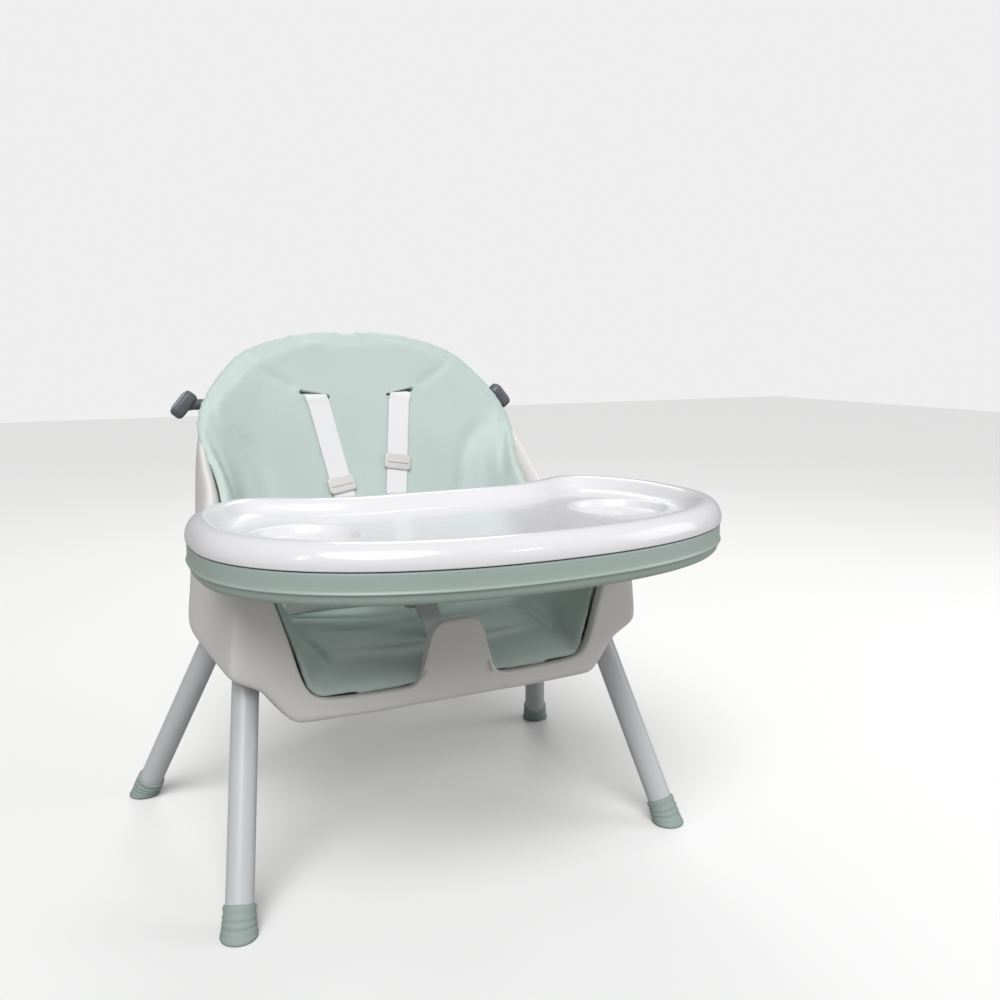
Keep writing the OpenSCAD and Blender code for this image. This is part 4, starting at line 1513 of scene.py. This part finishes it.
FLOOR_HALF = 6000
FLOOR_TONE = (0.86, 0.86, 0.855, 1)
SUN_STRENGTH, SUN_WIDTH, SUN_WAY = 2.75, 40, (0.9, 1.7, -2.1)
FLOOR_BOUNCE = (0.40, 0.395, 0.385, 1)
ROOM_LIGHT = 0.25
BACKDROP_LIGHT = 0.86


def floor_material():
    """Matt pale floor that throws little light back up, as a dull one does."""
    ground = bpy.data.materials.new("Pale floor")
    ground.use_nodes = True
    w = Wires(ground.node_tree)
    shader = ground.node_tree.nodes["Principled BSDF"]
    seen = w.node("ShaderNodeLightPath").outputs["Is Camera Ray"]
    w.link(w.blend(seen, FLOOR_BOUNCE, FLOOR_TONE), shader.inputs["Base Color"])
    shader.inputs["Roughness"].default_value = 0.95
    return ground


def studio_world():
    """Even room light, with a paler backdrop where nothing stands."""
    world = bpy.data.worlds.new("Studio")
    world.use_nodes = True
    w = Wires(world.node_tree)
    seen = w.node("ShaderNodeLightPath").outputs["Is Camera Ray"]
    background = world.node_tree.nodes["Background"]
    w.link(w.spread(seen, 0, 1, ROOM_LIGHT, BACKDROP_LIGHT), background.inputs["Strength"])
    background.inputs["Color"].default_value = (1, 1, 1, 1)
    return world


class HIGHCHAIR_OT_stage(bpy.types.Operator):
    """Pale floor, soft studio light and the camera"""
    bl_idname = "highchair.stage"
    bl_label = "Stage"

    def execute(self, context):
        scene = context.scene
        scene.view_settings.view_transform = "Standard"
        floor = add_mesh("floor", [(x * FLOOR_HALF, y * FLOOR_HALF, 0) for x, y in
                                   ((-1, -1), (1, -1), (1, 1), (-1, 1))], [[0, 1, 2, 3]])
        floor.data.materials.append(floor_material())
        scene.world = studio_world()
        middle = (0, 0, 0.3)
        sun = bpy.data.lights.new("daylight", "SUN")
        sun.energy, sun.angle = SUN_STRENGTH, math.radians(SUN_WIDTH)
        lamp = bpy.data.objects.new("daylight", sun)
        scene.collection.objects.link(lamp)
        lamp.rotation_euler = Vector(SUN_WAY).to_track_quat("-Z", "Y").to_euler()
        area_light("back", (0.6, 1.3, 1.9), middle, (0.8, 1.1), 8)
        area_light("side", (1.9, -0.9, 1.0), middle, (1.2, 1.2), 11)
        area_light("left strip", (-1.5, -0.9, 1.15), middle, (0.10, 0.42), 1.6)
        area_light("right strip", (0.75, -1.9, 1.3), middle, (0.36, 0.10), 1.4)
        data = bpy.data.cameras.new("camera")
        data.lens = CAMERA_LENS
        data.sensor_width = 36
        data.clip_start = 0.01
        camera = bpy.data.objects.new("camera", data)
        scene.collection.objects.link(camera)
        camera.location = CAMERA_PLACE
        camera.rotation_euler = (math.radians(90 - CAMERA_DROP), 0, math.radians(CAMERA_YAW))
        scene.camera = camera
        return {"FINISHED"}


# ---- panel and registration --------------------------------------------------------

OPERATORS = (
    HIGHCHAIR_OT_stage, HIGHCHAIR_OT_tray, HIGHCHAIR_OT_casing, HIGHCHAIR_OT_seat_shell,
    HIGHCHAIR_OT_cushions, HIGHCHAIR_OT_legs, HIGHCHAIR_OT_harness, HIGHCHAIR_OT_pegs,
)


class HIGHCHAIR_PT_panel(bpy.types.Panel):
    """Sizes, colours and the build steps of the high chair"""
    bl_idname = "HIGHCHAIR_PT_panel"
    bl_label = "High Chair"
    bl_space_type = "VIEW_3D"
    bl_region_type = "UI"
    bl_category = "High Chair"

    def draw(self, context):
        for group in (context.scene.chair_sizes, context.scene.chair_colours):
            box = self.layout.box()
            for key in group.__annotations__:
                box.prop(group, key)
        for operator in OPERATORS:
            self.layout.operator(operator.bl_idname)


CLASSES = (ChairSizes, ChairColours, *OPERATORS, HIGHCHAIR_PT_panel)


def register():
    for cls in CLASSES:
        bpy.utils.register_class(cls)
    bpy.types.Scene.chair_sizes = PointerProperty(type=ChairSizes)
    bpy.types.Scene.chair_colours = PointerProperty(type=ChairColours)


def unregister():
    del bpy.types.Scene.chair_colours
    del bpy.types.Scene.chair_sizes
    for cls in reversed(CLASSES):
        bpy.utils.unregister_class(cls)


def main():
    register()
    for operator in OPERATORS:
        group, name = operator.bl_idname.split(".")
        getattr(getattr(bpy.ops, group), name)()


if __name__ == "__main__":
    main()
